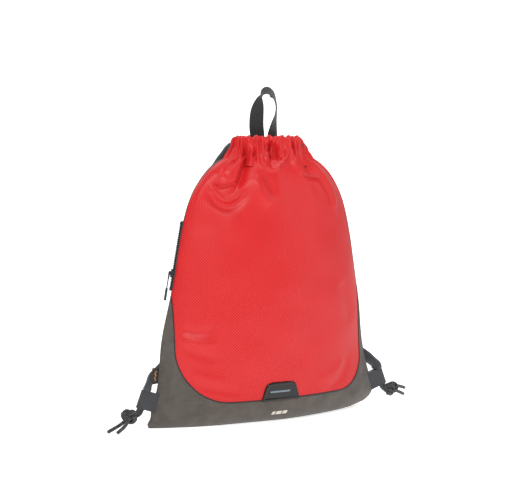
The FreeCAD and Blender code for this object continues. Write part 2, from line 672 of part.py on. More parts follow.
PULL_MIDDLE = SLIDER_FACE + " - sizes.pin_stand"
PULL_LOW = PIVOT_Z + " - sizes.pull_length"
plate = zip_box("pull_plate", ("-sizes.pull_width / 2",
                               PULL_MIDDLE + " - sizes.pull_thick / 2", PULL_LOW),
                ("sizes.pull_width / 2", PULL_MIDDLE + " + sizes.pull_thick / 2",
                 PIVOT_Z + " + sizes.pull_over"))
fork = zip_box("pull_fork", ("-sizes.lug_width / 2 - sizes.slide_clearance",
                             PULL_MIDDLE + " - 2", PIVOT_Z + " - sizes.fork_drop"),
               ("sizes.lug_width / 2 + sizes.slide_clearance", PULL_MIDDLE + " + 2",
                PIVOT_Z + " + 3"))
forked = boolean("Cut", "pull_forked", plate, fork)
keep(boolean("Cut", "pull_drilled", forked,
             cross_pin("pull_bore", "sizes.pull_pin + sizes.pin_play", "sizes.pull_width + 2")),
     "zip_pull")

pull_foot = V(0, pivot.y, pivot.z - size("pull_length"))
cord_foot = pull_foot - Z_AXIS * size("pull_cord_length")
pull_cord = Part.makeCylinder(size("pull_cord_dia") / 2, size("pull_cord_length"), cord_foot)
pull_cord_node = feature("zip_pull_cord", pull_cord)
pull_cord_node.Placement = zip_frame

grip = new_body("zip_grip_body")
grip_sketch = new_sketch(grip, "zip_grip_outline", "XY_Plane")
rectangle(grip_sketch, "sizes.grip_width", "sizes.grip_thick")
grip_pad = pad(grip, "zip_grip_pad", grip_sketch, "sizes.grip_length")
doc.recompute()
grip_round = grip.newObject("PartDesign::Fillet", "zip_grip_round")
grip_round.Base = (grip_pad, ["Edge%d" % i for i in range(1, len(grip_pad.Shape.Edges) + 1)])
grip_round.setExpression("Radius", "sizes.grip_thick * 0.35")
grip.Placement = zip_frame.multiply(FreeCAD.Placement(
    cord_foot - Z_AXIS * size("grip_length"), FreeCAD.Rotation()))
keep(grip, "zip_grip")

pocket_outer = sack_form("pocket_outer", "-sizes.fabric_wall - sizes.pocket_gap")
pocket_inner = sack_form("pocket_inner",
                         "-sizes.fabric_wall - sizes.pocket_gap - sizes.pocket_thick")
pocket_skin = boolean("Cut", "pocket_skin", pocket_outer, pocket_inner)
pocket_room = box("pocket_room", ("-" + SEAM_HALF, "-200", "sizes.zip_low"),
                  ("-" + SEAM_HALF + " + sizes.pocket_depth", "-3",
                   "sizes.zip_low + sizes.zip_length"))
keep(boolean("Common", "pocket_bag_cut", pocket_skin, pocket_room), "zip_pocket_bag")

# ---------------------------------------------------------------- light patch, mark and label
patch_prism = new_body("patch_prism")
patch_sketch = new_sketch(patch_prism, "patch_outline", "XZ_Plane")
for ends in (((-20, 0), (20, 0)), ((20, 0), (15, 20)), ((15, 20), (-15, 20)),
             ((-15, 20), (-20, 0))):
    patch_sketch.addGeometry(Part.LineSegment(V(*ends[0], 0), V(*ends[1], 0)))
for i in range(4):
    patch_sketch.addConstraint(Sketcher.Constraint("Coincident", i, 2, (i + 1) % 4, 1))
patch_sketch.addConstraint(Sketcher.Constraint("Symmetric", 0, 1, 0, 2, -2))
patch_sketch.addConstraint(Sketcher.Constraint("Symmetric", 2, 1, 2, 2, -2))
named_distance(patch_sketch, "DistanceX", (0, 1, 0, 2, 40), "sizes.patch_base", "base")
named_distance(patch_sketch, "DistanceX", (2, 2, 2, 1, 30), "sizes.patch_top", "top")
named_distance(patch_sketch, "DistanceY", (-1, 1, 0, 1, 30),
               "sizes.seam_height - sizes.piping_width", "rise")
named_distance(patch_sketch, "DistanceY", (0, 1, 2, 1, 20), "sizes.patch_height", "height")
patch_pad = pad(patch_prism, "patch_pad", patch_sketch, "300")
doc.recompute()
patch_top_z = size("seam_height") - size("piping_width") + size("patch_height")
shoulders = ["Edge%d" % i for i, edge in enumerate(patch_pad.Shape.Edges, start=1)
             if edge.BoundBox.YLength > 100 and abs(edge.BoundBox.ZMin - patch_top_z) < 0.1]
patch_round = patch_prism.newObject("PartDesign::Fillet", "patch_round")
patch_round.Base = (patch_pad, shoulders)
patch_round.setExpression("Radius", "sizes.patch_round")

patch_form = sack_form("patch_form", "sizes.patch_proud")
bar_form = sack_form("bar_form", "sizes.patch_proud + sizes.bar_proud")
mark_form = sack_form("mark_form", "sizes.mark_proud")
patch_skin = boolean("Cut", "patch_skin", patch_form, outer_form)
keep(boolean("Common", "patch_cut", patch_skin, patch_prism), "light_patch")
keep(boolean("Cut", "piping_broken", piping_strip, patch_prism), "seam_piping")
bar_skin = boolean("Cut", "bar_skin", bar_form, patch_form)
BAR_MIDDLE = "(sizes.seam_height - sizes.piping_width + sizes.patch_height / 2)"
bar_room = box("bar_room", ("-sizes.bar_length / 2", "-200",
                            BAR_MIDDLE + " - sizes.bar_width / 2"),
               ("sizes.bar_length / 2", "0", BAR_MIDDLE + " + sizes.bar_width / 2"))
keep(boolean("Common", "bar_cut", bar_skin, bar_room), "light_bar")

mark_skin = boolean("Cut", "mark_skin", mark_form, outer_form)
dashes = []
for i in (-1, 0, 1):
    middle = "%d * (sizes.mark_dash + sizes.mark_gap)" % i
    dashes.append(box("mark_dash%d" % (i + 1),
                      (middle + " - sizes.mark_dash / 2", "-200", "sizes.mark_height"),
                      (middle + " + sizes.mark_dash / 2", "0",
                       "sizes.mark_height + sizes.mark_rise")))
dash_set = doc.addObject("Part::MultiFuse", "mark_dashes")
dash_set.Shapes = dashes
keep(boolean("Common", "mark_cut", mark_skin, dash_set), "printed_mark")

label_x = half_width_at(size("label_low") + size("label_height") / 2)
label_strip = box("label_strip", ("%.4f - sizes.label_reach" % -label_x,
                                  "-sizes.label_front - sizes.label_thick", "sizes.label_low"),
                  ("%.4f + sizes.label_tuck" % -label_x, "-sizes.label_front",
                   "sizes.label_low + sizes.label_height"))
keep(boolean("Cut", "label_trim", label_strip, outer_form), "side_label")

# ---------------------------------------------------------------- checks and export
doc.recompute()
for thing in doc.Objects:
    if "Invalid" in thing.State or "Error" in thing.State:
        raise ValueError("%s (%s) failed: %s" % (thing.Name, thing.Label, thing.State))
for thing in sub_parts:
    shape = thing.Shape
    if shape.isNull() or not shape.isValid() or shape.Volume <= 0:
        raise ValueError("bad shape in " + thing.Label)
    shape.exportStep(os.path.join("parts", thing.Label + ".step"))
    print("%-22s %9.0f mm3 %d solids" % (thing.Label, shape.Volume, len(shape.Solids)))

for name, point in (("neck lip", neck_lip), ("strap top", strap_top), ("strap end", strap_end),
                    ("knot pivot", knot_pivot), ("knot middle", knot_middle),
                    ("pull pivot", pull_pivot), ("zip up", zip_up), ("zip across", zip_across),
                    ("loop hinge", V(0, LOOP_Y, loop_base))):
    print("%-12s %9.3f %9.3f %9.3f" % (name, point.x, point.y, point.z))
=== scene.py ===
import math

import bmesh
import bpy
import numpy as np
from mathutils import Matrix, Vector
from mathutils.bvhtree import BVHTree


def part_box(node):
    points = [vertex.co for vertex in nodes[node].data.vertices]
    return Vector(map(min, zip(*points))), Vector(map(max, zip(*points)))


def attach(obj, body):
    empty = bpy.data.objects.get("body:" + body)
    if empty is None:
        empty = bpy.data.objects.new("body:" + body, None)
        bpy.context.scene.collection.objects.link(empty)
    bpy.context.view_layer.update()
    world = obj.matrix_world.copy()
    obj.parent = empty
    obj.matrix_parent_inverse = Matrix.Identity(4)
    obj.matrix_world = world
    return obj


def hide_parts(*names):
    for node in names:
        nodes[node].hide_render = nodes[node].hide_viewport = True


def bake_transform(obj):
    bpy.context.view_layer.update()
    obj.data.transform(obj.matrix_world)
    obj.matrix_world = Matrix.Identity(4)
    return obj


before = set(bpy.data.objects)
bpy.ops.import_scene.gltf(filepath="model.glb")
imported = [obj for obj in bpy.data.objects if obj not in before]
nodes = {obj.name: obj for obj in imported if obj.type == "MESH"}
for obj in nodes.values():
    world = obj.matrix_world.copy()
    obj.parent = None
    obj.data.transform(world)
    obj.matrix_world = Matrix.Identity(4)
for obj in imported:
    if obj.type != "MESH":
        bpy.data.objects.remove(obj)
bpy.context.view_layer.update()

# Drawstring backpack: fabric, webbing, cords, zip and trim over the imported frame.
# Metres, +Z up, front towards -Y. Lengths are written in millimetres times MM.
MM = 0.001
random = np.random.default_rng(11)


# ---------------------------------------------------------------- camera, light and floor
CAMERA_SIDE = math.radians(24)
CAMERA_TURN = math.radians(23.17)
CAMERA_DROP = math.radians(6)
CAMERA_REACH = 1.6
CAMERA_HEIGHT = 0.43
camera_data = bpy.data.cameras.new("camera")
camera_data.lens = 73.8
camera_data.sensor_width = 36
camera = bpy.data.objects.new("camera", camera_data)
camera.location = (-CAMERA_REACH * math.sin(CAMERA_SIDE),
                   -CAMERA_REACH * math.cos(CAMERA_SIDE), CAMERA_HEIGHT)
camera.rotation_euler = (math.pi / 2 - CAMERA_DROP, 0, -CAMERA_TURN)
bpy.context.collection.objects.link(camera)
bpy.context.scene.camera = camera

bpy.context.scene.view_settings.view_transform = "Standard"
world = bpy.data.worlds.new("studio")
bpy.context.scene.world = world
world.use_nodes = True
world.node_tree.nodes["Background"].inputs["Color"].default_value = (1, 1, 1, 1)
world.node_tree.nodes["Background"].inputs["Strength"].default_value = 0.31

for name, place, aim, width, power in (
        ("key_light", (-1.3, -1.5, 1.7), (0, 0, 0.25), 0.6, 27),
        ("fill_light", (1.4, -1.4, 0.9), (0, 0, 0.22), 0.9, 6.5),
        ("top_light", (0.2, 0.0, 1.9), (0, 0, 0.3), 0.6, 9)):
    lamp = bpy.data.lights.new(name, "AREA")
    lamp.size = width
    lamp.energy = power
    stand = bpy.data.objects.new(name, lamp)
    stand.location = place
    stand.rotation_euler = (Vector(aim) - Vector(place)).to_track_quat("-Z", "Y").to_euler()
    bpy.context.collection.objects.link(stand)


# ---------------------------------------------------------------- materials
def new_material(name, colour, roughness, **sockets):
    """Principled material; every other value is a constant on its own socket."""
    made = bpy.data.materials.new(name)
    made.use_nodes = True
    shader = made.node_tree.nodes["Principled BSDF"]
    shader.inputs["Base Color"].default_value = (*colour, 1)
    shader.inputs["Roughness"].default_value = roughness
    for socket, value in sockets.items():
        shader.inputs[socket.replace("_", " ")].default_value = value
    return made


def add(made, kind, links=(), **values):
    """Adds a node; links are (input, output) pairs, values are settings or input values."""
    tree = made.node_tree
    new = tree.nodes.new(kind)
    for key, value in values.items():
        if hasattr(new, key):
            setattr(new, key, value)
        else:
            new.inputs[key.replace("_", " ")].default_value = value
    for socket, source in links:
        tree.links.new(source, new.inputs[socket])
    return new


def maths(made, operation, *values):
    """Math node on sockets or numbers."""
    new = made.node_tree.nodes.new("ShaderNodeMath")
    new.operation = operation
    for i, value in enumerate(values):
        if isinstance(value, (int, float)):
            new.inputs[i].default_value = value
        else:
            made.node_tree.links.new(value, new.inputs[i])
    return new.outputs[0]


def coordinates(made, kind="Object"):
    """Three coordinate sockets in metres, from the object or its UV map."""
    source = add(made, "ShaderNodeTexCoord").outputs[kind]
    apart = add(made, "ShaderNodeSeparateXYZ", [(0, source)])
    return source, apart.outputs[0], apart.outputs[1], apart.outputs[2]


def noise(made, source, scale, detail=3.0, rough=0.55):
    """Noise from 0 to 1; scale is in cells to the metre."""
    return add(made, "ShaderNodeTexNoise", [("Vector", source)], Scale=scale, Detail=detail,
               Roughness=rough).outputs["Fac"]


def ramp(made, factor, stops):
    """Colour ramp with (position, colour) stops."""
    new = add(made, "ShaderNodeValToRGB", [("Fac", factor)])
    elements = new.color_ramp.elements
    while len(elements) < len(stops):
        elements.new(0.5)
    for element, (position, colour) in zip(elements, stops):
        element.position = position
        element.color = (*colour, 1)
    return new.outputs["Color"]


def mix(made, factor, first, second):
    """Colour between two, each a socket or three numbers."""
    new = add(made, "ShaderNodeMix", data_type="RGBA")
    tree = made.node_tree
    for socket, value in ((0, factor), (6, first), (7, second)):
        if isinstance(value, (int, float)):
            new.inputs[socket].default_value = value
        elif isinstance(value, tuple):
            new.inputs[socket].default_value = (*value, 1)
        else:
            tree.links.new(value, new.inputs[socket])
    return new.outputs[2]


def finish_with(made, colour=None, roughness=None, heights=()):
    """Links colour, roughness and a chain of bumps, each (height, strength, distance)."""
    tree = made.node_tree
    shader = tree.nodes["Principled BSDF"]
    if colour is not None:
        tree.links.new(colour, shader.inputs["Base Color"])
    if roughness is not None:
        tree.links.new(roughness, shader.inputs["Roughness"])
    normal = None
    for height, strength, distance in heights:
        bump = add(made, "ShaderNodeBump", [("Height", height)], Strength=strength,
                   Distance=distance)
        if normal:
            tree.links.new(normal, bump.inputs["Normal"])
        normal = bump.outputs["Normal"]
    if normal:
        tree.links.new(normal, shader.inputs["Normal"])
    return made


def waves(made, first, second, pitch_a, pitch_b):
    """Product of two cosines: lozenges in staggered rows, from 0 to 1."""
    a = maths(made, "COSINE", maths(made, "MULTIPLY", first, 2 * math.pi / pitch_a))
    b = maths(made, "COSINE", maths(made, "MULTIPLY", second, 2 * math.pi / pitch_b))
    return maths(made, "MULTIPLY_ADD", maths(made, "MULTIPLY", a, b), 0.5, 0.5)


def red_dobby():
    """Coated polyester with a raised lozenge weave in staggered rows."""
    made = new_material("red_dobby_polyester", (0.7, 0.02, 0.02), 0.42,
                        Specular_IOR_Level=0.4, Sheen_Weight=0.04, Sheen_Roughness=0.5)
    uv, u, v, _ = coordinates(made, "UV")
    lozenge = waves(made, u, v, 4.4 * MM, 4.4 * MM)
    drift = noise(made, uv, 26, 2)
    yarn = waves(made, u, v, 0.9 * MM, 0.9 * MM)
    tone = ramp(made, lozenge, [(0.40, (0.56, 0.002, 0.005)), (0.70, (0.74, 0.026, 0.026))])
    tone = mix(made, maths(made, "MULTIPLY", drift, 0.25), tone, (0.50, 0.002, 0.005))
    rough = add(made, "ShaderNodeMapRange", [("Value", lozenge)], To_Min=0.50,
                To_Max=0.36).outputs[0]
    return finish_with(made, tone, rough, [(noise(made, uv, 190, 3), 0.25, 0.5 * MM),
                                           (lozenge, 0.55, 0.35 * MM), (yarn, 0.2, 0.1 * MM)])


def plain_cloth(name, dark, light, rough, weave=1.1):
    """Plain weave with a mottled tone, its threads crossing at a fine pitch."""
    made = new_material(name, light, rough, Specular_IOR_Level=0.35, Sheen_Weight=0.15,
                        Sheen_Roughness=0.6)
    uv, u, v, _ = coordinates(made, "UV")
    mottle = noise(made, uv, 38, 4, 0.6)
    fleck = noise(made, uv, 900, 2)
    threads = waves(made, u, v, weave * MM, weave * MM)
    tone = ramp(made, mottle, [(0.30, dark), (0.72, light)])
    tone = mix(made, maths(made, "MULTIPLY", threads, 0.22), tone, tuple(0.55 * c for c in dark))
    tone = mix(made, maths(made, "MULTIPLY", fleck, 0.16), tone,
               tuple(min(1, 1.5 * c) for c in light))
    roughs = add(made, "ShaderNodeMapRange", [("Value", mottle)], To_Min=rough + 0.08,
                 To_Max=rough - 0.08).outputs[0]
    return finish_with(made, tone, roughs, [(mottle, 0.2, 0.6 * MM), (threads, 0.45, 0.25 * MM)])


def twill(name, dark, light, kind="UV", pitch=1.9):
    """Webbing: slanting ribs across a band, with a fine thread between them."""
    made = new_material(name, light, 0.6, Specular_IOR_Level=0.4, Sheen_Weight=0.2)
    source, u, v, w = coordinates(made, kind)
    along = maths(made, "ADD", u, v if kind == "UV" else w)
    across = maths(made, "SUBTRACT", u, v if kind == "UV" else w)
    rib = maths(made, "COSINE", maths(made, "MULTIPLY", along, 2 * math.pi / (pitch * MM)))
    rib = maths(made, "MULTIPLY_ADD", rib, 0.5, 0.5)
    thread = waves(made, across, along, 0.8 * MM, 2.2 * MM)
    worn = noise(made, source, 240, 3)
    tone = ramp(made, rib, [(0.15, dark), (0.8, light)])
    tone = mix(made, maths(made, "MULTIPLY", worn, 0.35), tone, dark)
    return finish_with(made, tone, None, [(rib, 0.6, 0.4 * MM), (thread, 0.3, 0.15 * MM)])


def braid(name, dark, light, kind="UV"):
    """Braided cord: two sets of strands that cross, with pale flecks."""
    made = new_material(name, dark, 0.62, Specular_IOR_Level=0.4, Sheen_Weight=0.2)
    source, u, v, w = coordinates(made, kind)
    if kind != "UV":
        u, v = maths(made, "ADD", u, v), w
    left = maths(made, "ADD", u, v)
    right = maths(made, "SUBTRACT", u, v)
    strands = waves(made, left, right, 2.6 * MM, 2.6 * MM)
    fleck = maths(made, "GREATER_THAN", noise(made, source, 620, 1), 0.60)
    fleck = maths(made, "MULTIPLY", fleck, strands)
    tone = ramp(made, strands, [(0.1, tuple(0.4 * c for c in dark)), (0.7, dark)])
    tone = mix(made, fleck, tone, light)
    return finish_with(made, tone, None, [(strands, 0.9, 0.6 * MM),
                                          (noise(made, source, 1500, 2), 0.2, 0.1 * MM)])


def moulded(name, colour, rough, grain=0.15, metal=0.0):
    """Moulded or cast trim: fine grain, faint smears in the gloss, paler worn specks."""
    made = new_material(name, colour, rough, Metallic=metal, Specular_IOR_Level=0.5)
    source = coordinates(made)[0]
    smear = noise(made, source, 120, 3)
    speck = noise(made, source, 1400, 2)
    tone = mix(made, maths(made, "MULTIPLY", smear, 0.3), colour,
               tuple(min(1, 1.7 * c + 0.01) for c in colour))
    roughs = add(made, "ShaderNodeMapRange", [("Value", smear)], To_Min=rough - 0.06,
                 To_Max=rough + 0.1).outputs[0]
    return finish_with(made, tone, roughs, [(speck, grain, 0.15 * MM)])


def woven_label():
    """Black satin label with a small plain orange zigzag woven in a band."""
    zigzag_pitch, zigzag_reach, zigzag_start, line_half = 3.2 * MM, 3.0 * MM, 5.2 * MM, 0.8 * MM
    made = new_material("woven_label", (0.012, 0.012, 0.013), 0.5, Sheen_Weight=0.2)
    _, u, v, _ = coordinates(made, "UV")
    saw = maths(made, "PINGPONG", maths(made, "MULTIPLY", v, 1 / zigzag_pitch), 1.0)
    offset = maths(made, "ABSOLUTE", maths(made, "SUBTRACT", u, maths(
        made, "MULTIPLY_ADD", saw, zigzag_reach, zigzag_start)))
    inside = maths(made, "MULTIPLY", maths(made, "GREATER_THAN", v, 5 * MM),
                   maths(made, "LESS_THAN", v, 20 * MM))
    line = maths(made, "MULTIPLY", maths(made, "LESS_THAN", offset, line_half), inside)
    threads = waves(made, u, v, 0.7 * MM, 0.7 * MM)
    tone = mix(made, line, (0.012, 0.012, 0.013), (0.85, 0.30, 0.03))
    tone = mix(made, maths(made, "MULTIPLY", threads, 0.2), tone, (0.03, 0.028, 0.03))
    return finish_with(made, tone, None, [(threads, 0.5, 0.2 * MM), (line, 0.4, 0.3 * MM)])


RED = red_dobby()
GREY = plain_cloth("warm_grey_cloth", (0.066, 0.056, 0.047), (0.112, 0.097, 0.083), 0.72)
BACK = plain_cloth("back_cloth", (0.050, 0.047, 0.045), (0.090, 0.085, 0.080), 0.75, 1.3)
LINING = plain_cloth("lining_cloth", (0.10, 0.10, 0.10), (0.18, 0.18, 0.18), 0.7)
SLEEVE = plain_cloth("sleeve_cloth", (0.020, 0.021, 0.024), (0.046, 0.049, 0.056), 0.62, 1.6)
TAPE = twill("zip_tape_twill", (0.010, 0.010, 0.011), (0.030, 0.030, 0.032))
LOOP = twill("loop_webbing", (0.010, 0.010, 0.011), (0.032, 0.033, 0.036))
TAB = twill("tab_webbing", (0.022, 0.023, 0.026), (0.062, 0.064, 0.072), "Object", 3.4)
CORD = braid("charcoal_cord", (0.040, 0.038, 0.038), (0.24, 0.24, 0.25))
CORD_HELD = braid("charcoal_cord_held", (0.040, 0.038, 0.038), (0.24, 0.24, 0.25), "Object")
# Near-black colour for the seam cord: painted shadow along the seam between the red and grey
# panels.
SEAM_SHADOW_PAINT = twill("seam_shadow_paint_cloth", (0.008, 0.007, 0.007), (0.026, 0.024, 0.023))
ZIP_PLASTIC = moulded("zip_coil_plastic", (0.012, 0.012, 0.013), 0.35)
ZIP_METAL = moulded("zip_metal", (0.045, 0.045, 0.048), 0.34, 0.2, 0.8)
GRIP = moulded("grip_rubber", (0.016, 0.018, 0.022), 0.5, 0.5)
PATCH = moulded("patch_plastic", (0.004, 0.004, 0.0045), 0.22, 0.05)
# Pale blue-grey for the raised rib on the light patch: painted highlight along its top edge.
RIB_HIGHLIGHT_PAINT = moulded("bar_plastic", (0.16, 0.22, 0.26), 0.16, 0.04)
PRINT = moulded("mark_ink", (0.62, 0.58, 0.50), 0.55, 0.3)
LABEL = woven_label()
FLOOR = moulded("studio_floor", (0.9, 0.9, 0.9), 0.8, 0.02)
WALL = moulded("studio_wall", (0.6, 0.6, 0.6), 0.9, 0.02)
for studio_material, glow in ((WALL, 0.95), (FLOOR, 0.62)):
    shader = studio_material.node_tree.nodes["Principled BSDF"]
    shader.inputs["Emission Color"].default_value = (1, 1, 1, 1)
    shader.inputs["Emission Strength"].default_value = glow


# ---------------------------------------------------------------- mesh helpers
def grid_faces(rows, columns, around=False):
    """Corner indices of a grid stored row by row; the last column joins the first if around."""
    row = np.arange(rows - 1)[:, None]
    column = np.arange(columns if around else columns - 1)[None, :]
    after = (column + 1) % columns
    return np.stack([row * columns + column, row * columns + after,
                     (row + 1) * columns + after, (row + 1) * columns + column],
                    axis=-1).reshape(-1, 4)


def grid_uv(uv):
    """One UV pair per face corner; a grid that goes round has one more column of pairs."""
    low, high = uv[:-1], uv[1:]
    return np.stack([low[:, :-1], low[:, 1:], high[:, 1:], high[:, :-1]], axis=2).reshape(-1, 2)


def build(name, points, faces, material, body, corner_uv=None, cad=(), slot=None, wall=None,
          turned=False, merge=None):
    """Mesh from arrays of points and faces; wall gives the thickness, laid inwards."""
    if turned:
        faces = faces[:, ::-1]
        corner_uv = corner_uv.reshape(-1, 4, 2)[:, ::-1].reshape(-1, 2)
    mesh = bpy.data.meshes.new(name)
    mesh.from_pydata(np.asarray(points).reshape(-1, 3).tolist(), [], faces.tolist())
    if corner_uv is not None:
        layer = mesh.uv_layers.new(name="UVMap")
        layer.data.foreach_set("uv", np.asarray(corner_uv, dtype=np.float32).ravel())
    if merge:
        work = bmesh.new()
        work.from_mesh(mesh)
        bmesh.ops.remove_doubles(work, verts=work.verts, dist=merge)
        work.to_mesh(mesh)
        work.free()
    mesh.polygons.foreach_set("use_smooth", [True] * len(mesh.polygons))
    mesh.materials.append(material)
    piece = bpy.data.objects.new(name, mesh)
    bpy.context.collection.objects.link(piece)
    if wall:
        solid = piece.modifiers.new("wall", "SOLIDIFY")
        solid.thickness = wall
        solid.offset = -1
    if body:
        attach(piece, body)
    if cad:
        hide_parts(*cad)
    return piece


def run_along(line):
    """Length from the first point to each point of a line."""
    return np.concatenate([[0], np.cumsum(np.linalg.norm(np.diff(line, axis=0), axis=1))])


def raised(value, power):
    """Sine or cosine of a superellipse: its size to a power, its sign kept."""
    return np.sign(value) * np.abs(value) ** power


def frames_along(spine, lead):
    """Tangents and two cross directions carried along a line without twisting."""
    tangent = np.gradient(spine, axis=0)
    tangent /= np.linalg.norm(tangent, axis=1, keepdims=True)
    first = np.empty_like(spine)
    side = np.asarray(lead, dtype=float)
    for i, along in enumerate(tangent):
        side = side - along * side.dot(along)
        side /= np.linalg.norm(side)
        first[i] = side
    return tangent, first, np.cross(tangent, first)


def carried(name, spine, wide, thick, material, body, lead=(0, 0, 1), sides=16, square=2.0,
            round_ends=True, **rest):
    """Superellipse, wide by thick, carried along a line and closed; round ends are domes."""
    count = len(spine)
    wide = np.broadcast_to(np.asarray(wide, dtype=float), (count,)) / 2
    thick = np.broadcast_to(np.asarray(thick, dtype=float), (count,)) / 2
    tangent, first, second = frames_along(spine, lead)
    if round_ends:
        lean = np.radians([12, 35, 60, 80])
        reach = np.cos(lean)[:, None]
        start = spine[0] - tangent[0] * reach * thick[0]
        stop = spine[-1] + tangent[-1] * reach[::-1] * thick[-1]
        spine = np.concatenate([start, spine, stop])
        shrink = np.sin(lean)
        wide = np.concatenate([wide[0] * shrink, wide, wide[-1] * shrink[::-1]])
        thick = np.concatenate([thick[0] * shrink, thick, thick[-1] * shrink[::-1]])
        first = np.concatenate([[first[0]] * 4, first, [first[-1]] * 4])
        second = np.concatenate([[second[0]] * 4, second, [second[-1]] * 4])
    angle = np.linspace(0, 2 * np.pi, sides, endpoint=False)
    across, above = raised(np.cos(angle), 2 / square), raised(np.sin(angle), 2 / square)
    points = (spine[:, None] + first[:, None] * (across[None, :, None] * wide[:, None, None])
              + second[:, None] * (above[None, :, None] * thick[:, None, None]))
    rows = len(spine)
    girth = np.pi * (wide.max() + thick.max())
    uv = np.empty((rows, sides + 1, 2))
    uv[..., 0] = np.linspace(0, girth, sides + 1)
    uv[..., 1] = run_along(spine)[:, None]
    piece = build(name, points, grid_faces(rows, sides, True), material, None, grid_uv(uv), **rest)
    close_ends(piece.data, rows, sides)
    if body:
        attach(piece, body)
    return piece


def close_ends(mesh, rows, sides):
    """Fills the two open rings of a carried profile."""
    work = bmesh.new()
    work.from_mesh(mesh)
    work.verts.ensure_lookup_table()
    work.faces.new([work.verts[i] for i in range(sides)][::-1])
    work.faces.new([work.verts[(rows - 1) * sides + i] for i in range(sides)])
    work.to_mesh(mesh)
    work.free()


def through(points, count):
    """Smooth line through points: a Catmull-Rom spline, evenly stepped in its parameter."""
    points = np.asarray(points, dtype=float)
    ends = np.vstack([2 * points[0] - points[1], points, 2 * points[-1] - points[-2]])
    where = np.linspace(0, len(points) - 1, count)
    span = np.minimum(where.astype(int), len(points) - 2)
    s = (where - span)[:, None]
    a, b, c, d = (ends[span + k] for k in range(4))
    return 0.5 * (2 * b + (c - a) * s + (2 * a - 5 * b + 4 * c - d) * s ** 2
                  + (3 * b - a - 3 * c + d) * s ** 3)


def nurbs_line(name, points):
    """Points along a NURBS curve of order 3 that has the route's points as control points."""
    curve = bpy.data.curves.new(name + "_route", "CURVE")
    curve.dimensions = "3D"
    spline = curve.splines.new("NURBS")
    spline.points.add(len(points) - 1)
    for knot, point in zip(spline.points, points):
        knot.co = (*point, 1)
    spline.order_u = 3
    spline.use_endpoint_u = True
    spline.resolution_u = 10
    holder = bpy.data.objects.new(name + "_route", curve)
    bpy.context.collection.objects.link(holder)
    graph = bpy.context.evaluated_depsgraph_get()
    line = bpy.data.meshes.new_from_object(holder.evaluated_get(graph))
    found = np.empty(len(line.vertices) * 3)
    line.vertices.foreach_get("co", found)
    bpy.data.objects.remove(holder)
    bpy.data.meshes.remove(line)
    return found.reshape(-1, 3)


def step(value, low, high):
    """Smooth step from 0 at low to 1 at high."""
    s = np.clip((value - low) / (high - low), 0, 1)
    return s * s * (3 - 2 * s)


# ---------------------------------------------------------------- cords first
KNOT_PIVOT = np.array([209.582, 0, 25.678]) * MM
KNOT_MIDDLE = np.array([224.782, 0, 21.378]) * MM
CORD_DIA = 5.5 * MM
TAILS = {
    "left_tail_a": ([(8, -2, -6), (18, -4, -12), (34, -6, -18)], 0.038),
    "left_tail_b": ([(6, -8, -7.5), (13.5, -13, -13.3), (22.5, -16, -17.8)], 0.0335),
    "right_tail_a": ([(12, 5, 1.5), (24, 12, -0.5), (38, 20, -6.5)], 0.0435),
    "right_tail_b": ([(11, 3, -5), (21, 7, -9.5), (31, 12, -14.5)], 0.0355),
}
SIDES = (("left", -1), ("right", 1))


def mirrored(side, point):
    """Point taken to the left for side -1."""
    return np.asarray(point, dtype=float) * (side, 1, 1)


for name, side in SIDES:
    for tail in ("a", "b"):
        label = "%s_tail_%s" % (name, tail)
        offsets, length = TAILS[label]
        route = [mirrored(side, KNOT_MIDDLE)]
        route += [mirrored(side, KNOT_MIDDLE + np.array(offset) * MM) for offset in offsets]
        line = nurbs_line(label, route)
        piece = carried(label + "_cord", line, CORD_DIA, CORD_DIA, CORD, name + "_knot",
                        lead=(0, 1, 0), sides=14, cad=(label,), slot="cord")


# ---------------------------------------------------------------- the sack's form
def frame_tree(*names):
    """Search tree over CAD nodes, for measuring where their faces are."""
    points, faces = [], []
    for node in names:
        mesh = nodes[node].data
        start = len(points)
        points += [tuple(vertex.co) for vertex in mesh.vertices]
        faces += [[start + i for i in face.vertices] for face in mesh.polygons]
    return BVHTree.FromPolygons(points, faces)


sack_tree = frame_tree("front_panel", "lower_panel", "back_panel")
SACK_TOP = 410 * MM
SEAM_Z = 38 * MM
levels = np.concatenate([[0.5, 3, 6, 9, 12, 16, 20, 26, 32], np.arange(42, 409, 4), [409.5]]) * MM


def struck(start, way):
    """Where a ray meets the sack's frame, or the origin if it misses."""
    hit = sack_tree.ray_cast(Vector(start), Vector(way))[0]
    return hit if hit is not None else Vector((0, 0, 0))


half_widths = np.array([struck((0.4, 0.0006, z), (-1, 0, 0)).x for z in levels])
front_depths = np.array([-struck((0.0, -0.3, z), (0, 1, 0)).y for z in levels])
back_depths = np.array([struck((0.0, 0.3, z), (0, -1, 0)).y for z in levels])


def half_width(z, side):
    """Half-width at a height: the frame's, fuller on the left flank, drawn in on the right."""
    z = np.asarray(z, dtype=float)
    width = np.interp(z, levels, half_widths)
    left = (4 * MM * np.exp(-((z - 0.130) / 0.055) ** 2)
            + 18 * MM * np.clip(1 - z / 0.016, 0, 1) ** 1.5)
    right = (-4.5 * MM * np.exp(-((z - 0.115) / 0.045) ** 2)
             - 26 * MM * np.clip(1 - z / 0.034, 0, 1) ** 2)
    return width + np.where(np.asarray(side) < 0, left, right)


def skin(x, z, face):
    """Depth of the sack: bulge times (1 - t squared) to a power that softens at the neck."""
    x, z = np.broadcast_arrays(np.asarray(x, dtype=float), np.asarray(z, dtype=float))
    depth = np.interp(z, levels, front_depths if face < 0 else back_depths)
    t = np.clip(x / half_width(z, x), -1, 1)
    low_power = 0.82 if face < 0 else 0.9
    power = low_power - (low_power - 0.5) * step(z, 0.30, 0.405)
    return face * depth * (1 - t * t) ** power


GATHERS = [(37, 10 * MM, 1.0), (26, 17 * MM, 0.9), (17, 30 * MM, 0.8), (11, 48 * MM, 0.7),
           (7, 75 * MM, 0.5)]
gather_phase = random.uniform(0, 2 * np.pi, (len(GATHERS), 2))


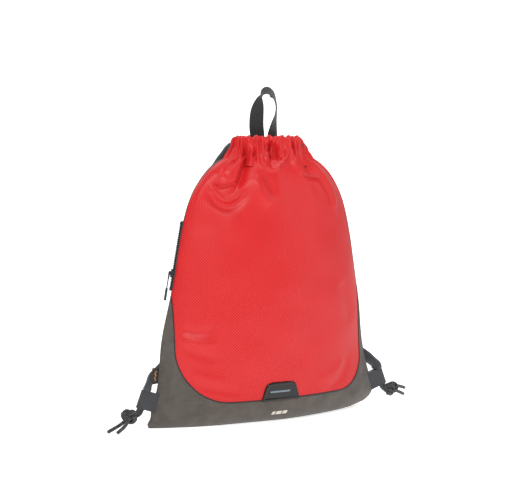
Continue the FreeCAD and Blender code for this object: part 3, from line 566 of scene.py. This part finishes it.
def gathers(turn, z):
    """Cosines round the neck; the finer ones die out sooner below the channel."""
    total = np.zeros(np.broadcast(turn, z).shape)
    for (count, reach, weight), (phase, bend) in zip(GATHERS, gather_phase):
        fade = np.exp(-np.clip(SACK_TOP - z, 0, None) / reach)
        total += weight * fade * np.cos(count * turn + phase + 0.9 * np.cos(2 * turn + bend))
    return total


# Folds on the front: points across and up in mm, height in mm, width in mm, sharpness.
FOLD_DEPTH = 1.3
FOLDS = [
    ([(-43, 420), (-45, 402), (-51, 387), (-59, 370), (-68, 358)], -9, 5.5, 1.6),
    ([(-52, 424), (-73, 399), (-86, 378)], 5, 12, 2),
    ([(-96, 369), (-86, 363), (-63, 369)], -4, 3, 1.3),
    ([(-101, 364), (-93, 349), (-81, 342), (-67, 347), (-56, 361)], 4, 4, 1.6),
    ([(-104, 356), (-95, 339), (-80, 332), (-64, 340), (-50, 357)], -3.5, 7, 2),
    ([(-30, 428), (-35, 412)], 3.5, 2.8, 2),
    ([(-21, 431), (-24, 406), (-18, 393), (-6, 389), (10, 398), (20, 411), (15, 424)], 4, 4, 1.8),
    ([(-6, 432), (0, 416), (0, 400)], -10, 8.5, 2.4),
    ([(-14, 428), (-10, 413)], -4, 2.2, 1.3),
    ([(15, 422), (30, 409), (32, 395), (42, 379)], 3.5, 5, 1.8),
    ([(43, 379), (61, 374), (78, 373)], -3.2, 3, 1.3),
    ([(52, 372), (77, 365)], 2, 5, 2),
    ([(-38, 380), (-30, 357), (-16, 333)], 3.4, 9, 1.6),
    ([(-27, 385), (-16, 367), (-6, 350)], -2.4, 6, 2),
    ([(-103, 378), (-115, 358), (-124, 335)], 2.2, 6, 2),
    ([(62, 400), (84, 378), (98, 350), (106, 322)], 2.2, 7, 2),
    ([(70, 382), (92, 352), (98, 330)], -2.0, 6, 2),
    ([(-118, 318), (-96, 296), (-84, 262)], -1.4, 14, 2),
    ([(-60, 318), (-84, 290), (-98, 252)], 1.4, 16, 2),
    ([(-150, 150), (-128, 146), (-104, 150)], -1.8, 6, 1.8),
    ([(-150, 124), (-126, 112), (-98, 106)], -1.6, 6, 1.8),
    ([(-150, 137), (-124, 129), (-98, 128)], 1.5, 7, 2),
    ([(-140, 84), (-112, 76), (-84, 70)], 1.3, 7, 2),
    ([(-128, 66), (-100, 58), (-60, 52)], -1.2, 6, 2),
    ([(60, 60), (92, 66), (118, 84)], 1.3, 9, 2),
    ([(84, 44), (112, 60), (132, 96)], -1.3, 8, 2),
    ([(112, 210), (126, 180), (134, 140)], -1.5, 12, 2),
    ([(-176, 20), (-166, 52), (-160, 96)], 2.2, 9, 2),
    ([(-178, 52), (-170, 90), (-164, 130)], -1.6, 7, 2),
    ([(-150, 12), (-110, 20), (-60, 22)], 1.0, 8, 2),
    ([(120, 22), (150, 30), (168, 48)], 1.4, 9, 2),
    ([(164, 34), (168, 70), (166, 104)], -1.4, 7, 2),
]


def folds(x, z):
    """Sum over the folds: height times exp(-(distance / width) to the sharpness)."""
    total = np.zeros(x.shape)
    for points, height, width, sharp in FOLDS:
        line = through(np.array(points) * MM, 5 * len(points)) if len(points) > 2 else (
            np.array(points) * MM)
        nearest = np.full(x.shape, 1.0)
        share = np.zeros(x.shape)
        for i, (a, b) in enumerate(zip(line, line[1:])):
            along = b - a
            s = np.clip(((x - a[0]) * along[0] + (z - a[1]) * along[1]) / along.dot(along), 0, 1)
            away = np.hypot(x - a[0] - s * along[0], z - a[1] - s * along[1])
            closer = away < nearest
            nearest = np.where(closer, away, nearest)
            share = np.where(closer, (i + s) / (len(line) - 1), share)
        taper = np.clip(1 - (2 * share - 1) ** 4, 0.15, 1)
        total += FOLD_DEPTH * height * MM * taper * np.exp(-(nearest / (width * MM)) ** sharp)
    return total


def slack(x, z, seed):
    """Slow swells of loose cloth: a few crossed sine waves of 60 to 160 mm."""
    draw = np.random.default_rng(seed)
    total = np.zeros(x.shape)
    for _ in range(7):
        heading, length = draw.uniform(0, np.pi), draw.uniform(0.060, 0.160)
        phase = draw.uniform(0, 2 * np.pi)
        wave = (x * math.cos(heading) + z * math.sin(heading)) * 2 * np.pi / length
        total += np.sin(wave + phase) / 7
    return total


def surface(x, z, face, swell=2.2 * MM, gathered=2.4 * MM):
    """Point on the front or back: the skin pushed along the section's normal by its folds."""
    x, z = np.broadcast_arrays(np.asarray(x, dtype=float), np.asarray(z, dtype=float))
    width = half_width(z, x)
    depth = np.interp(z, levels, front_depths if face < 0 else back_depths)
    t = np.clip(x / width, -1, 1)
    y = skin(x, z, face)
    turn = face * np.arccos(t)
    inner = np.sqrt(np.clip(1 - t * t, 0, 1))
    push = gathered * gathers(turn, z)
    push = push + swell * slack(x, z, 5 if face < 0 else 8) * inner
    if face < 0:
        push = push + folds(x, z) * np.clip(inner * 2.2, 0, 1)
    nx, ny = t / width, face * np.maximum(inner, 1e-3) / depth
    size = np.hypot(nx, ny)
    return np.stack([x + push * nx / size, y + push * ny / size, z], axis=-1)


def cloth_uv(points, middle):
    """Arc length across from the middle column, and up from the first row."""
    across = np.linalg.norm(np.diff(points, axis=1), axis=2)
    u = np.concatenate([np.zeros((len(points), 1)), np.cumsum(across, axis=1)], axis=1)
    u -= u[:, middle:middle + 1]
    up = np.linalg.norm(np.diff(points[:, middle], axis=0), axis=1)
    v = np.concatenate([[0], np.cumsum(up)])
    return np.stack([u, np.broadcast_to(v[:, None], u.shape)], axis=-1)


# The red panel's foot: how far each corner reaches in and up.
CORNERS = {-1: (78 * MM, 84 * MM), 1: (50 * MM, 52 * MM)}
SEAM_X = 158 * MM
TALLEST = CORNERS[-1][1]
WING_TOP = 196 * MM
corner_rise = SEAM_Z + TALLEST * (1 - np.cos(np.linspace(0, np.pi / 2, 30)))


def seam_edge(z, side):
    """Seam's distance from the middle: a quarter ellipse at the foot, then upright."""
    reach, rise = CORNERS[side]
    lift = np.clip((rise - (z - SEAM_Z)) / rise, 0, 1)
    edge = SEAM_X - reach + reach * np.sqrt(1 - lift ** 2)
    return np.minimum(edge, half_width(z, side))


CLOTH = 0.8 * MM
RED_COLUMNS = 211
rise = np.concatenate([corner_rise, np.arange(125, 300, 3) * MM, np.arange(300, 411, 1.4) * MM])
rise[-1] = SACK_TOP
share = np.linspace(-1, 1, RED_COLUMNS)
left_edge, right_edge = seam_edge(rise, -1), seam_edge(rise, 1)
across = np.where(share[None, :] < 0, share[None, :] * left_edge[:, None],
                  share[None, :] * right_edge[:, None])
red_points = surface(across, rise[:, None], -1)
build("red_front", red_points, grid_faces(len(rise), RED_COLUMNS), RED, "bag",
      grid_uv(cloth_uv(red_points, RED_COLUMNS // 2)), cad=("front_panel",), slot="red_fabric",
      wall=CLOTH)

# Grey panel: wings beside the seam, the strip below it, the underside and a low back lip.
WING_COLUMNS, STRIP_COLUMNS = 25, 81
foot_left, foot_right = seam_edge(SEAM_Z, -1), seam_edge(SEAM_Z, 1)
grey_points, grey_faces, grey_uv, counted = [], [], [], 0
for side, foot in ((-1, foot_left), (1, foot_right)):
    rows = np.concatenate([corner_rise, np.linspace(125 * MM, WING_TOP, 26)])
    inner, outer = seam_edge(rows, side), half_width(rows, side)
    s = np.linspace(0, 1, WING_COLUMNS)[None, :]
    x = side * (inner[:, None] + (outer - inner)[:, None] * s)
    x = x if side > 0 else x[:, ::-1]
    points = surface(x, rows[:, None], -1)
    grey_faces.append(grid_faces(len(rows), WING_COLUMNS) + counted)
    uv = cloth_uv(points, 0) + np.array([foot if side > 0 else -0.2, 0.05])
    grey_uv.append(grid_uv(uv))
    grey_points.append(points.reshape(-1, 3))
    counted += points.shape[0] * points.shape[1]

low = SEAM_Z * np.linspace(1, 0, 22) ** 1.5
x_rows = []
for z in low:
    left, right = half_width(z, -1), half_width(z, 1)
    x_rows.append(np.concatenate([np.linspace(-left, -foot_left, WING_COLUMNS),
                                  np.linspace(-foot_left, foot_right, STRIP_COLUMNS)[1:],
                                  np.linspace(foot_right, right, WING_COLUMNS)[1:]]))
x_rows = np.array(x_rows)
strip = surface(x_rows, low[:, None], -1)
under_share = np.linspace(0, 1, 16)[1:-1][:, None]
front_edge, back_edge = strip[-1], surface(x_rows[-1], np.full(x_rows[-1].shape, 0.0), 1)
under = front_edge + (back_edge - front_edge) * under_share[..., None]
UNDER_RISE = 1.6 * MM
under[..., 2] = UNDER_RISE * np.sin(np.pi * under_share)
lip_rows = np.linspace(0, 8 * MM, 6)
lip_x = np.array([x_rows[-1] / np.where(x_rows[-1] < 0, half_width(0, -1), half_width(0, 1))
                  * np.where(x_rows[-1] < 0, half_width(z, -1), half_width(z, 1))
                  for z in lip_rows])
lip = surface(lip_x, lip_rows[:, None], 1)
whole = np.concatenate([strip, under, lip])
grey_faces.append(grid_faces(len(whole), whole.shape[1])[:, ::-1] + counted)
uv = grid_uv(cloth_uv(whole, 65) * (1, -1))
grey_uv.append(uv.reshape(-1, 4, 2)[:, ::-1].reshape(-1, 2))
grey_points.append(whole.reshape(-1, 3))
build("grey_lower_panel", np.concatenate(grey_points), np.concatenate(grey_faces), GREY, "bag",
      np.concatenate(grey_uv), cad=("lower_panel",), slot="grey_fabric", wall=CLOTH,
      merge=0.02 * MM)

back_rise = np.concatenate([np.linspace(8, 300, 84), np.arange(302, 411, 1.8)]) * MM
back_rise[-1] = SACK_TOP
BACK_COLUMNS = 161
t = np.sin(np.linspace(-1, 1, BACK_COLUMNS) * np.pi / 2)
back_x = np.where(t[None, :] < 0, t[None, :] * half_width(back_rise, -1)[:, None],
                  t[None, :] * half_width(back_rise, 1)[:, None])
back_points = surface(back_x, back_rise[:, None], 1, swell=3.2 * MM)
build("back_panel_cloth", back_points, grid_faces(len(back_rise), BACK_COLUMNS), BACK, "bag",
      grid_uv(cloth_uv(back_points, BACK_COLUMNS // 2)), cad=("back_panel",),
      slot="back_fabric", wall=CLOTH, turned=True)

# A near-black cord along the seam, whose dark colour is painted seam shadow, and a binding down
# each side.
SEAM_SHADOW_DIA, BINDING_DIA = 2.0 * MM, 1.6 * MM
corner_turn = np.linspace(0, np.pi / 2, 40)
lines = {}
for side in (-1, 1):
    reach, up = CORNERS[side]
    z = np.concatenate([SEAM_Z + up * (1 - np.cos(corner_turn)),
                        np.linspace(SEAM_Z + up, WING_TOP, 40)[1:]])
    lines[side] = np.stack([side * seam_edge(z, side), z], axis=1)
floor_line = np.stack([np.linspace(-foot_left, foot_right, 90),
                       np.full(90, SEAM_Z)], axis=1)[1:-1]
seam_line = np.concatenate([lines[-1][::-1], floor_line, lines[1]])
seam_points = surface(seam_line[:, 0], seam_line[:, 1], -1)
seam_points[:, 1] -= 0.1 * MM
carried("seam_shadow_paint_cord", seam_points, SEAM_SHADOW_DIA, SEAM_SHADOW_DIA, SEAM_SHADOW_PAINT, "bag", sides=8,
        lead=(0, -1, 0.2), cad=("seam_piping",), slot="piping")
for name, side in SIDES:
    z = np.linspace(6 * MM, SACK_TOP, 160)
    edge = surface(side * half_width(z, side), z, -1)
    carried(name + "_side_seam", edge, BINDING_DIA, BINDING_DIA, GREY, "bag", sides=8,
            lead=(0, 1, 0), slot="grey_fabric")

# Neck channel: a gathered hem carried round the neck's ellipse.
NECK_LONG, NECK_SHORT = 57 * MM, 24 * MM
HEM = np.array([(9.5, 393), (6.2, 400), (3.8, 406), (2.2, 413), (1.5, 420), (1.3, 426.5),
                (1.1, 430.5), (0.1, 434), (-1.7, 436.8), (-3.7, 438), (-5.8, 437.4),
                (-8.0, 434.5), (-9.8, 429), (-10.4, 420), (-10.0, 409), (-9.4, 398),
                (-9.2, 388)]) * MM
HEM_ROWS, HEM_COLUMNS = 64, 460
FLARE_SIDE, FLARE_BACK = 13 * MM, 7 * MM


def neck_ring(turn, offset, z):
    """Points round the neck's ellipse, pushed out along its normal by an offset."""
    nx, ny = np.cos(turn) / NECK_LONG, np.sin(turn) / NECK_SHORT
    norm = np.hypot(nx, ny)
    return np.stack([NECK_LONG * np.cos(turn) + offset * nx / norm,
                     NECK_SHORT * np.sin(turn) + offset * ny / norm, z + 0 * turn], axis=-1)


def neck_push(turn, z):
    """Push of the neck cloth: gathers that ease upwards, and the front's own folds."""
    gathered = gathers(turn, z) * (2.0 - 1.0 * step(z, 0.414, 0.434)) * MM
    front = np.clip(-np.sin(turn), 0, 1)
    own = folds(NECK_LONG * np.cos(turn) + 0 * z, z + 0 * turn)
    return gathered + own * np.clip(front * 2.2, 0, 1) * (1 - step(z, 0.418, 0.438))


hem = through(HEM, HEM_ROWS)
turn = np.linspace(-np.pi, np.pi, HEM_COLUMNS, endpoint=False)[None, :]
bulge = step(hem[:, 1:], 0.408, 0.424)
scallop = 0.8 * MM * np.cos(43 * turn + 1.3 * np.sin(3 * turn)) * bulge
flare = ((FLARE_SIDE * np.abs(np.cos(turn)) ** 5 + FLARE_BACK * np.clip(2 * np.sin(turn), 0, 1))
         * (1 - step(hem[:, 1:], 0.399, 0.426))
         * step(hem[:, :1], -7 * MM, -1 * MM))
offset = hem[:, :1] + neck_push(turn, hem[:, 1:]) + scallop + flare
lift = (1.1 * np.cos(19 * turn + 0.8) + 0.9 * np.cos(31 * turn + 2.0)
        - 3.0 * np.cos(turn) ** 8) * MM * step(hem[:, 1:], 0.418, 0.434)
channel = neck_ring(turn, offset, hem[:, 1:] + lift)
around = np.concatenate([channel, channel[:, :1]], axis=1)
build("neck_channel_hem", channel, grid_faces(HEM_ROWS, HEM_COLUMNS, True), RED, "bag",
      grid_uv(cloth_uv(around, 0)), cad=("neck_channel",), slot="red_fabric", wall=0.6 * MM)

# Drawcords inside the channel: each goes in at one side, round the far side and out again.
CORD_INSET = 8.4 * MM
HELD_DIA = 4.6 * MM
CORD_LEVEL, LEVEL_APART = 421 * MM, 3.15 * MM
SIDE_GAP = 0.62
for name, side in SIDES:
    level = CORD_LEVEL + LEVEL_APART * side
    turn = np.linspace(SIDE_GAP, 2 * np.pi - SIDE_GAP, 150)
    sunk = np.minimum(neck_push(turn[None, :], np.full((1, 150), level))[0], 0)
    ring = neck_ring(turn, sunk - CORD_INSET, level)
    out = [(59 * MM, 3.4 * MM, level), (52 * MM, 5.4 * MM, level)]
    back = [(52 * MM, -5.4 * MM, level), (59 * MM, -3.4 * MM, level)]
    route = np.concatenate([out, ring[::2], back])
    line = through(mirrored(side, route), 300)
    carried(name + "_drawcord_line", line, HELD_DIA, HELD_DIA, CORD, "bag", sides=12,
            cad=(name + "_drawcord",), slot="cord")


# ---------------------------------------------------------------- hanging loop
LOOP_Y = 10.3 * MM
LOOP_BASE, LOOP_RISE, LOOP_SPREAD = 439 * MM, 74 * MM, 13 * MM
# Round the loop: share of the spread, share of the rise, spin about Z and lean, in degrees.
LOOP_SHAPE = [(-1.0, -0.43, 0, 0), (-1.0, -0.2, 0, 0), (-1.0, 0.00, 0, 0), (-1.10, 0.22, 2, 0),
              (-1.0, 0.48, 10, 2), (-0.62, 0.72, 34, 16), (-0.12, 0.86, 54, 32),
              (0.50, 0.90, 64, 38), (1.12, 0.82, 66, 32), (1.46, 0.64, 64, 14),
              (1.44, 0.44, 60, 2), (1.18, 0.22, 44, 0), (0.98, 0.00, 28, 0),
              (0.94, -0.2, 20, 0), (0.90, -0.43, 14, 0)]
LOOP_STEPS = 150
shape = through(LOOP_SHAPE, LOOP_STEPS)
spine = np.stack([shape[:, 0] * LOOP_SPREAD, np.full(LOOP_STEPS, LOOP_Y),
                  LOOP_BASE + shape[:, 1] * LOOP_RISE], axis=1)
spin = np.radians(shape[:, 2])
along = np.gradient(spine, axis=0)
along /= np.linalg.norm(along, axis=1, keepdims=True)
lean = np.radians(shape[:, 3])
wide = np.stack([np.cos(spin) * np.cos(lean), np.sin(spin) * np.cos(lean), np.sin(lean)], axis=1)
wide -= along * np.sum(wide * along, axis=1, keepdims=True)
wide /= np.linalg.norm(wide, axis=1, keepdims=True)
thick = np.cross(along, wide)
BAND_WIDE, BAND_THICK = 24 * MM, 1.6 * MM
profile_x = np.concatenate([np.linspace(-1, 1, 13), [1.0], np.linspace(1, -1, 13), [-1.0]])
profile_y = np.concatenate([np.full(13, -1.0), [0], np.full(13, 1.0), [0]])
profile_y = profile_y * np.where(np.abs(profile_x) > 0.95, 0.6, 1)
band = (spine[:, None] + wide[:, None] * (profile_x[None, :, None] * BAND_WIDE / 2)
        + thick[:, None] * (profile_y[None, :, None] * BAND_THICK / 2))
count = len(profile_x)
band_uv = np.empty((LOOP_STEPS, count + 1, 2))
band_uv[..., 0] = np.append(profile_x, profile_x[0]) * BAND_WIDE / 2
band_uv[..., 1] = run_along(spine)[:, None]
loop = build("carry_loop_webbing", band, grid_faces(LOOP_STEPS, count, True), LOOP, None,
             grid_uv(band_uv), cad=("carry_loop", "carry_loop_ends"), slot="webbing")
close_ends(loop.data, LOOP_STEPS, count)
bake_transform(loop)


# ---------------------------------------------------------------- straps
NECK_LIP = np.array([64, 0, 421]) * MM
STRAP_TOP = np.array([72, 0, 421]) * MM
STRAP_END = np.array([195.218, 0, 65.146]) * MM
STRAP_ROUTE = [(0.030, 0.045, 12), (0.080, 0.105, 13), (0.160, 0.165, 12), (0.270, 0.215, 12),
               (0.390, 0.250, 12), (0.510, 0.275, 12), (0.630, 0.310, 12), (0.740, 0.370, 12),
               (0.830, 0.480, 12), (0.895, 0.640, 13), (0.938, 0.810, 14), (0.972, 0.930, 11)]
SHOULDER_TUCK = 10 * MM
STRAND_SHIFT = 2.95 * MM
SLEEVED_DIA = 4.8 * MM
STRAP_WIDE, STRAP_THICK = 20, 9.5


def back_at(x, z):
    """Depth of the frame's back at a place, measured on its face."""
    reach = min(abs(x), float(np.interp(z, levels, half_widths)) - 0.5 * MM)
    return struck((reach, 0.3, z), (0, -1, 0)).y


def strap_line(side):
    """Middle line of one strap, from under the hem down the back to the tab."""
    points = [NECK_LIP + (-6 * MM, 4 * MM, 1.5 * MM), NECK_LIP + (0, 7 * MM, -3 * MM)]
    for drop, out, stand_off in STRAP_ROUTE:
        z = STRAP_TOP[2] + drop * (STRAP_END[2] - STRAP_TOP[2])
        x = (STRAP_TOP[0] + out * (STRAP_END[0] - STRAP_TOP[0])
             - SHOULDER_TUCK * math.exp(-((z - 0.405) / 0.024) ** 2))
        back = back_at(x, z) if z < 409 * MM else 0
        points.append((x, back + stand_off * MM, z))
    points.append(STRAP_END)
    points.append(STRAP_END + np.array([2.0, 0, -5.5]) * MM)
    return through([mirrored(side, point) for point in points], 260)


for name, side in SIDES:
    spine = strap_line(side)
    run = run_along(spine)
    from_end = np.minimum(run, run[-1] - run)
    draw = np.random.default_rng(21 + side)
    ripple = (np.sin(run / (4.2 * MM) + draw.uniform(0, 6)) * np.exp(-from_end / 0.022)
              + 0.35 * np.sin(run / (17 * MM)) * np.sin(run / (41 * MM) + 1))
    drawn_in = np.exp(-from_end / 0.012)
    wide = (STRAP_WIDE - 4.5 * drawn_in + 1.7 * ripple) * MM
    thick = (STRAP_THICK + 2.6 * drawn_in + 1.3 * ripple) * MM
    tangent = np.gradient(spine, axis=0)
    lead = np.cross(tangent[0], (0, 0, 1))
    carried(name + "_strap_cover", spine, wide, thick, SLEEVE, name + "_strap",
            lead=lead, sides=28, square=2.4, cad=(name + "_strap_sleeve",),
            slot="sleeve_fabric", round_ends=False)
    aside = np.cross(tangent, (0, 1, 0))
    aside /= np.linalg.norm(aside, axis=1)[:, None]
    for strand, shift in (("a", -STRAND_SHIFT), ("b", STRAND_SHIFT)):
        carried("%s_strap_cord_%s_line" % (name, strand), (spine + shift * aside)[4:-4],
                SLEEVED_DIA, SLEEVED_DIA, CORD, name + "_strap", sides=10,
                cad=("%s_strap_cord_%s" % (name, strand),), slot="cord")


# ---------------------------------------------------------------- cords at the tabs, and knots
TAB_TILT = math.radians(20)
TAB_OUT = np.array([math.cos(TAB_TILT), 0, math.sin(TAB_TILT)])
TAB_UP = np.array([-TAB_OUT[2], 0, TAB_OUT[0]])
KNOT_SIZE = 3.25 * MM
KNOT_TILT = math.radians(24)
KNOT_LIFT = 2.15 * MM
KNOTTED_DIA = 4.9 * MM
for name, side in SIDES:
    for strand, shift in (("inner", -STRAND_SHIFT), ("outer", STRAND_SHIFT)):
        top = STRAP_END + TAB_OUT * shift
        low = KNOT_PIVOT + TAB_OUT * shift + TAB_UP * 6 * MM
        bend = KNOT_PIVOT + TAB_OUT * shift * 0.9 - TAB_UP * (2 * MM) + (1.5 * MM, 0, 0)
        last = KNOT_MIDDLE + np.array([-4, -1.5 * np.sign(shift), 1 + 250 * shift]) * MM
        middle = (bend + last) / 2 + np.array([0.5, 0, -2.2]) * MM
        route = [top + TAB_UP * 4 * MM, top, (top + low) / 2, low, bend, middle, last]
        line = through([mirrored(side, point) for point in route], 70)
        piece = carried("%s_tab_cord_%s" % (name, strand), line, CORD_DIA, CORD_DIA, CORD, None,
                        lead=(0, 1, 0), sides=12,
                        cad=(name + "_tab_cords",) if strand == "inner" else (), slot="cord")
        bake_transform(piece)

    # Overhand knot in the doubled cord: a trefoil, its two strands side by side.
    way = np.linspace(0, 2 * np.pi, 150)
    ring = 2 + np.cos(3 * way)
    flat = np.stack([ring * np.cos(2 * way), 1.5 * np.sin(3 * way), ring * np.sin(2 * way)],
                    axis=1) * KNOT_SIZE * (1.15, 1.0, 0.90)
    for strand, lift in (("inner", -1), ("outer", 1)):
        slope = np.gradient(flat, axis=0)
        slope /= np.linalg.norm(slope, axis=1, keepdims=True)
        aside = np.cross(slope, flat)
        aside /= np.linalg.norm(aside, axis=1, keepdims=True)
        x, y, z = (flat + aside * (lift * KNOT_LIFT)).T
        turned = np.stack([x * math.cos(KNOT_TILT) - z * math.sin(KNOT_TILT), y,
                           x * math.sin(KNOT_TILT) + z * math.cos(KNOT_TILT)], axis=1)
        line = np.array([mirrored(side, point) for point in turned + KNOT_MIDDLE])
        carried("%s_knot_%s" % (name, strand), line, KNOTTED_DIA, KNOTTED_DIA, CORD,
                name + "_knot", lead=(0, 1, 0.3), sides=12,
                cad=(name + "_knot",) if lift < 0 else (), slot="cord")


# ---------------------------------------------------------------- zip, patch, mark and label
ZIP_FOOT, ZIP_HEAD = 207 * MM, 311 * MM
TAPE_ROWS, TAPE_COLUMNS = 60, 25
TAPE_FRONT, TAPE_BACK = 0.5 * MM, 8.5 * MM
RIDGE_BACK, TAPE_PROUD = 2.2 * MM, 0.9 * MM
zip_rows = np.linspace(ZIP_FOOT, ZIP_HEAD, TAPE_ROWS)
reach = np.linspace(-1, 1, TAPE_COLUMNS)
crease = half_width(zip_rows, -1)[:, None]
inward = np.where(reach < 0, TAPE_FRONT, TAPE_BACK)[None, :] * np.abs(reach)[None, :] ** 1.4
tape_x = -(crease - inward)
tape_y = np.where(reach[None, :] < 0, skin(tape_x, zip_rows[:, None], -1),
                  skin(tape_x, zip_rows[:, None], 1))
teeth_x = np.linspace(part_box("zip_bottom_stop")[0][0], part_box("zip_top_stop")[0][0], TAPE_ROWS)
ridge = teeth_x[:, None] + RIDGE_BACK
blend_in = np.abs(reach)[None, :] ** 0.7
tape = np.stack([tape_x * blend_in + ridge * (1 - blend_in) - TAPE_PROUD * blend_in,
                 tape_y, zip_rows[:, None] + 0 * tape_y], axis=-1)
build("zip_tape_cloth", tape, grid_faces(TAPE_ROWS, TAPE_COLUMNS), TAPE, "bag",
      grid_uv(cloth_uv(tape, TAPE_COLUMNS // 2)), cad=("zip_tape",), slot="zip_tape",
      wall=0.6 * MM, turned=True)

PATCH_LOW, PATCH_RISE = 36 * MM, 29 * MM
PATCH_FOOT, PATCH_HEAD = 32 * MM, 23.5 * MM
PATCH_POINTS = 120


def patch_points(shrink, lift):
    """Rounded trapezoid: a superellipse, nearly square at its foot, drawn in by a distance."""
    angle = np.linspace(0, 2 * np.pi, PATCH_POINTS, endpoint=False)
    power = 2 / np.where(np.sin(angle) < 0, 34.0, 5.0)
    p, q = raised(np.cos(angle), power), raised(np.sin(angle), power)
    half_high = PATCH_RISE / 2
    width = PATCH_FOOT + (PATCH_HEAD - PATCH_FOOT) * (q + 1) / 2
    x = p * np.clip(width - shrink, 0, None)
    z = PATCH_LOW + half_high + q * max(half_high - shrink, 0)
    y = skin(x, z, -1) - lift
    return np.stack([x, y, z], axis=1)


# Rings of the shell: how far each is drawn in and how proud it stands, in mm.
rings = [(0, -1.0), (0, 0.6), (0.2, 1.5), (0.7, 2.3), (1.5, 2.7), (2.6, 2.75), (3.4, 2.55),
         (4.0, 2.1), (5.0, 1.9), (7.5, 1.95), (10, 2.0), (12.5, 2.0), (14.3, 2.0)]
patch = np.stack([patch_points(shrink * MM, lift * MM) for shrink, lift in rings])
piece = build("light_patch_shell", patch, grid_faces(len(rings), PATCH_POINTS, True), PATCH,
              "bag", cad=("light_patch",), slot="patch_plastic")
close_ends(piece.data, len(rings), PATCH_POINTS)

# Raised rib across the light patch; its pale blue-grey colour is painted highlight along the rib's
# top edge.
BAR_HEIGHT, BAR_PROUD = 50.5 * MM, 2.3 * MM
bar_x = np.linspace(-18, 13.5, 40) * MM
bar_line = np.stack([bar_x, skin(bar_x, BAR_HEIGHT, -1) - BAR_PROUD, BAR_HEIGHT + 0 * bar_x],
                    axis=1)
carried("light_bar_painted_highlight", bar_line, 3.0 * MM, 1.8 * MM, RIB_HIGHLIGHT_PAINT, "bag", sides=14,
        cad=("light_bar",), slot="bar_plastic")

# Printed dashes: the middle and length of each, in mm.
for i, (middle, long) in enumerate(((-10.5, 5), (-1.5, 9), (8.5, 7))):
    u, v = np.linspace(-1, 1, 12)[None, :], np.linspace(-1, 1, 6)[:, None]
    z = (15.5 + 2.6 * v + 0 * u) * MM
    x = (middle + long / 2 * u + 1.0 * v) * MM
    dash = surface(x, z, -1) + np.array([0, -0.35 * MM, 0])
    build("printed_dash_%d" % (i + 1), dash, grid_faces(6, 12), PRINT, "bag",
          cad=("printed_mark",) if i == 0 else (), slot="print", wall=0.3 * MM)

LABEL_LOW, LABEL_HIGH = 67 * MM, 92 * MM
label_rows = np.linspace(LABEL_LOW, LABEL_HIGH, 26)
LABEL_REACH = 13 * MM
fold_out = np.concatenate([np.linspace(-1.5, 12.2, 22), [12.9, 13.1, 12.9],
                           np.linspace(12.2, -1.5, 22)]) * MM
fold_side = np.concatenate([np.full(22, -0.7), [-0.5, 0, 0.5], np.full(22, 0.7)]) * MM
label_edge = half_width(label_rows, -1)[:, None]
curl = 1.2 * MM * np.sin((label_rows[:, None] - LABEL_LOW) / (LABEL_HIGH - LABEL_LOW) * np.pi)
label_points = np.stack([-(label_edge + fold_out[None, :]) + 0 * label_rows[:, None],
                         (1.5 - 5 * fold_out[None, :] / LABEL_REACH) * MM + fold_side[None, :]
                         - curl * (fold_out[None, :] / LABEL_REACH),
                         label_rows[:, None] + 0 * fold_out[None, :]], axis=-1)
uv = np.stack([np.broadcast_to(np.abs(fold_out)[None, :], label_points.shape[:2]),
               np.broadcast_to(label_rows[:, None] - LABEL_LOW, label_points.shape[:2])], axis=-1)
build("side_label_cloth", label_points, grid_faces(26, 47), LABEL, "bag", grid_uv(uv),
      cad=("side_label",), slot="label", wall=0.35 * MM, turned=True)


# ---------------------------------------------------------------- carried-over pieces
for node, material in (
        ("left_tab", TAB), ("right_tab", TAB), ("zip_teeth", ZIP_PLASTIC),
        ("zip_bottom_stop", ZIP_METAL), ("zip_top_stop", ZIP_METAL),
        ("zip_slider", ZIP_METAL), ("zip_pull", ZIP_METAL), ("zip_pull_cord", CORD_HELD),
        ("zip_grip", GRIP), ("zip_pocket_bag", LINING)):
    piece = nodes[node]
    if piece.material_slots:
        for slot in piece.material_slots:
            slot.material = material
    else:
        piece.data.materials.append(material)

FLOOR_Z = -0.2 * MM
for name, corners, material in (
        ("studio_floor", [(-4, -4, FLOOR_Z), (4, -4, FLOOR_Z), (4, 3, FLOOR_Z), (-4, 3, FLOOR_Z)],
         FLOOR),
        ("studio_wall", [(-4, 3, 0), (4, 3, 0), (4, 3, 4), (-4, 3, 4)], WALL)):
    build(name, corners, np.array([[0, 1, 2, 3]]), material, None)
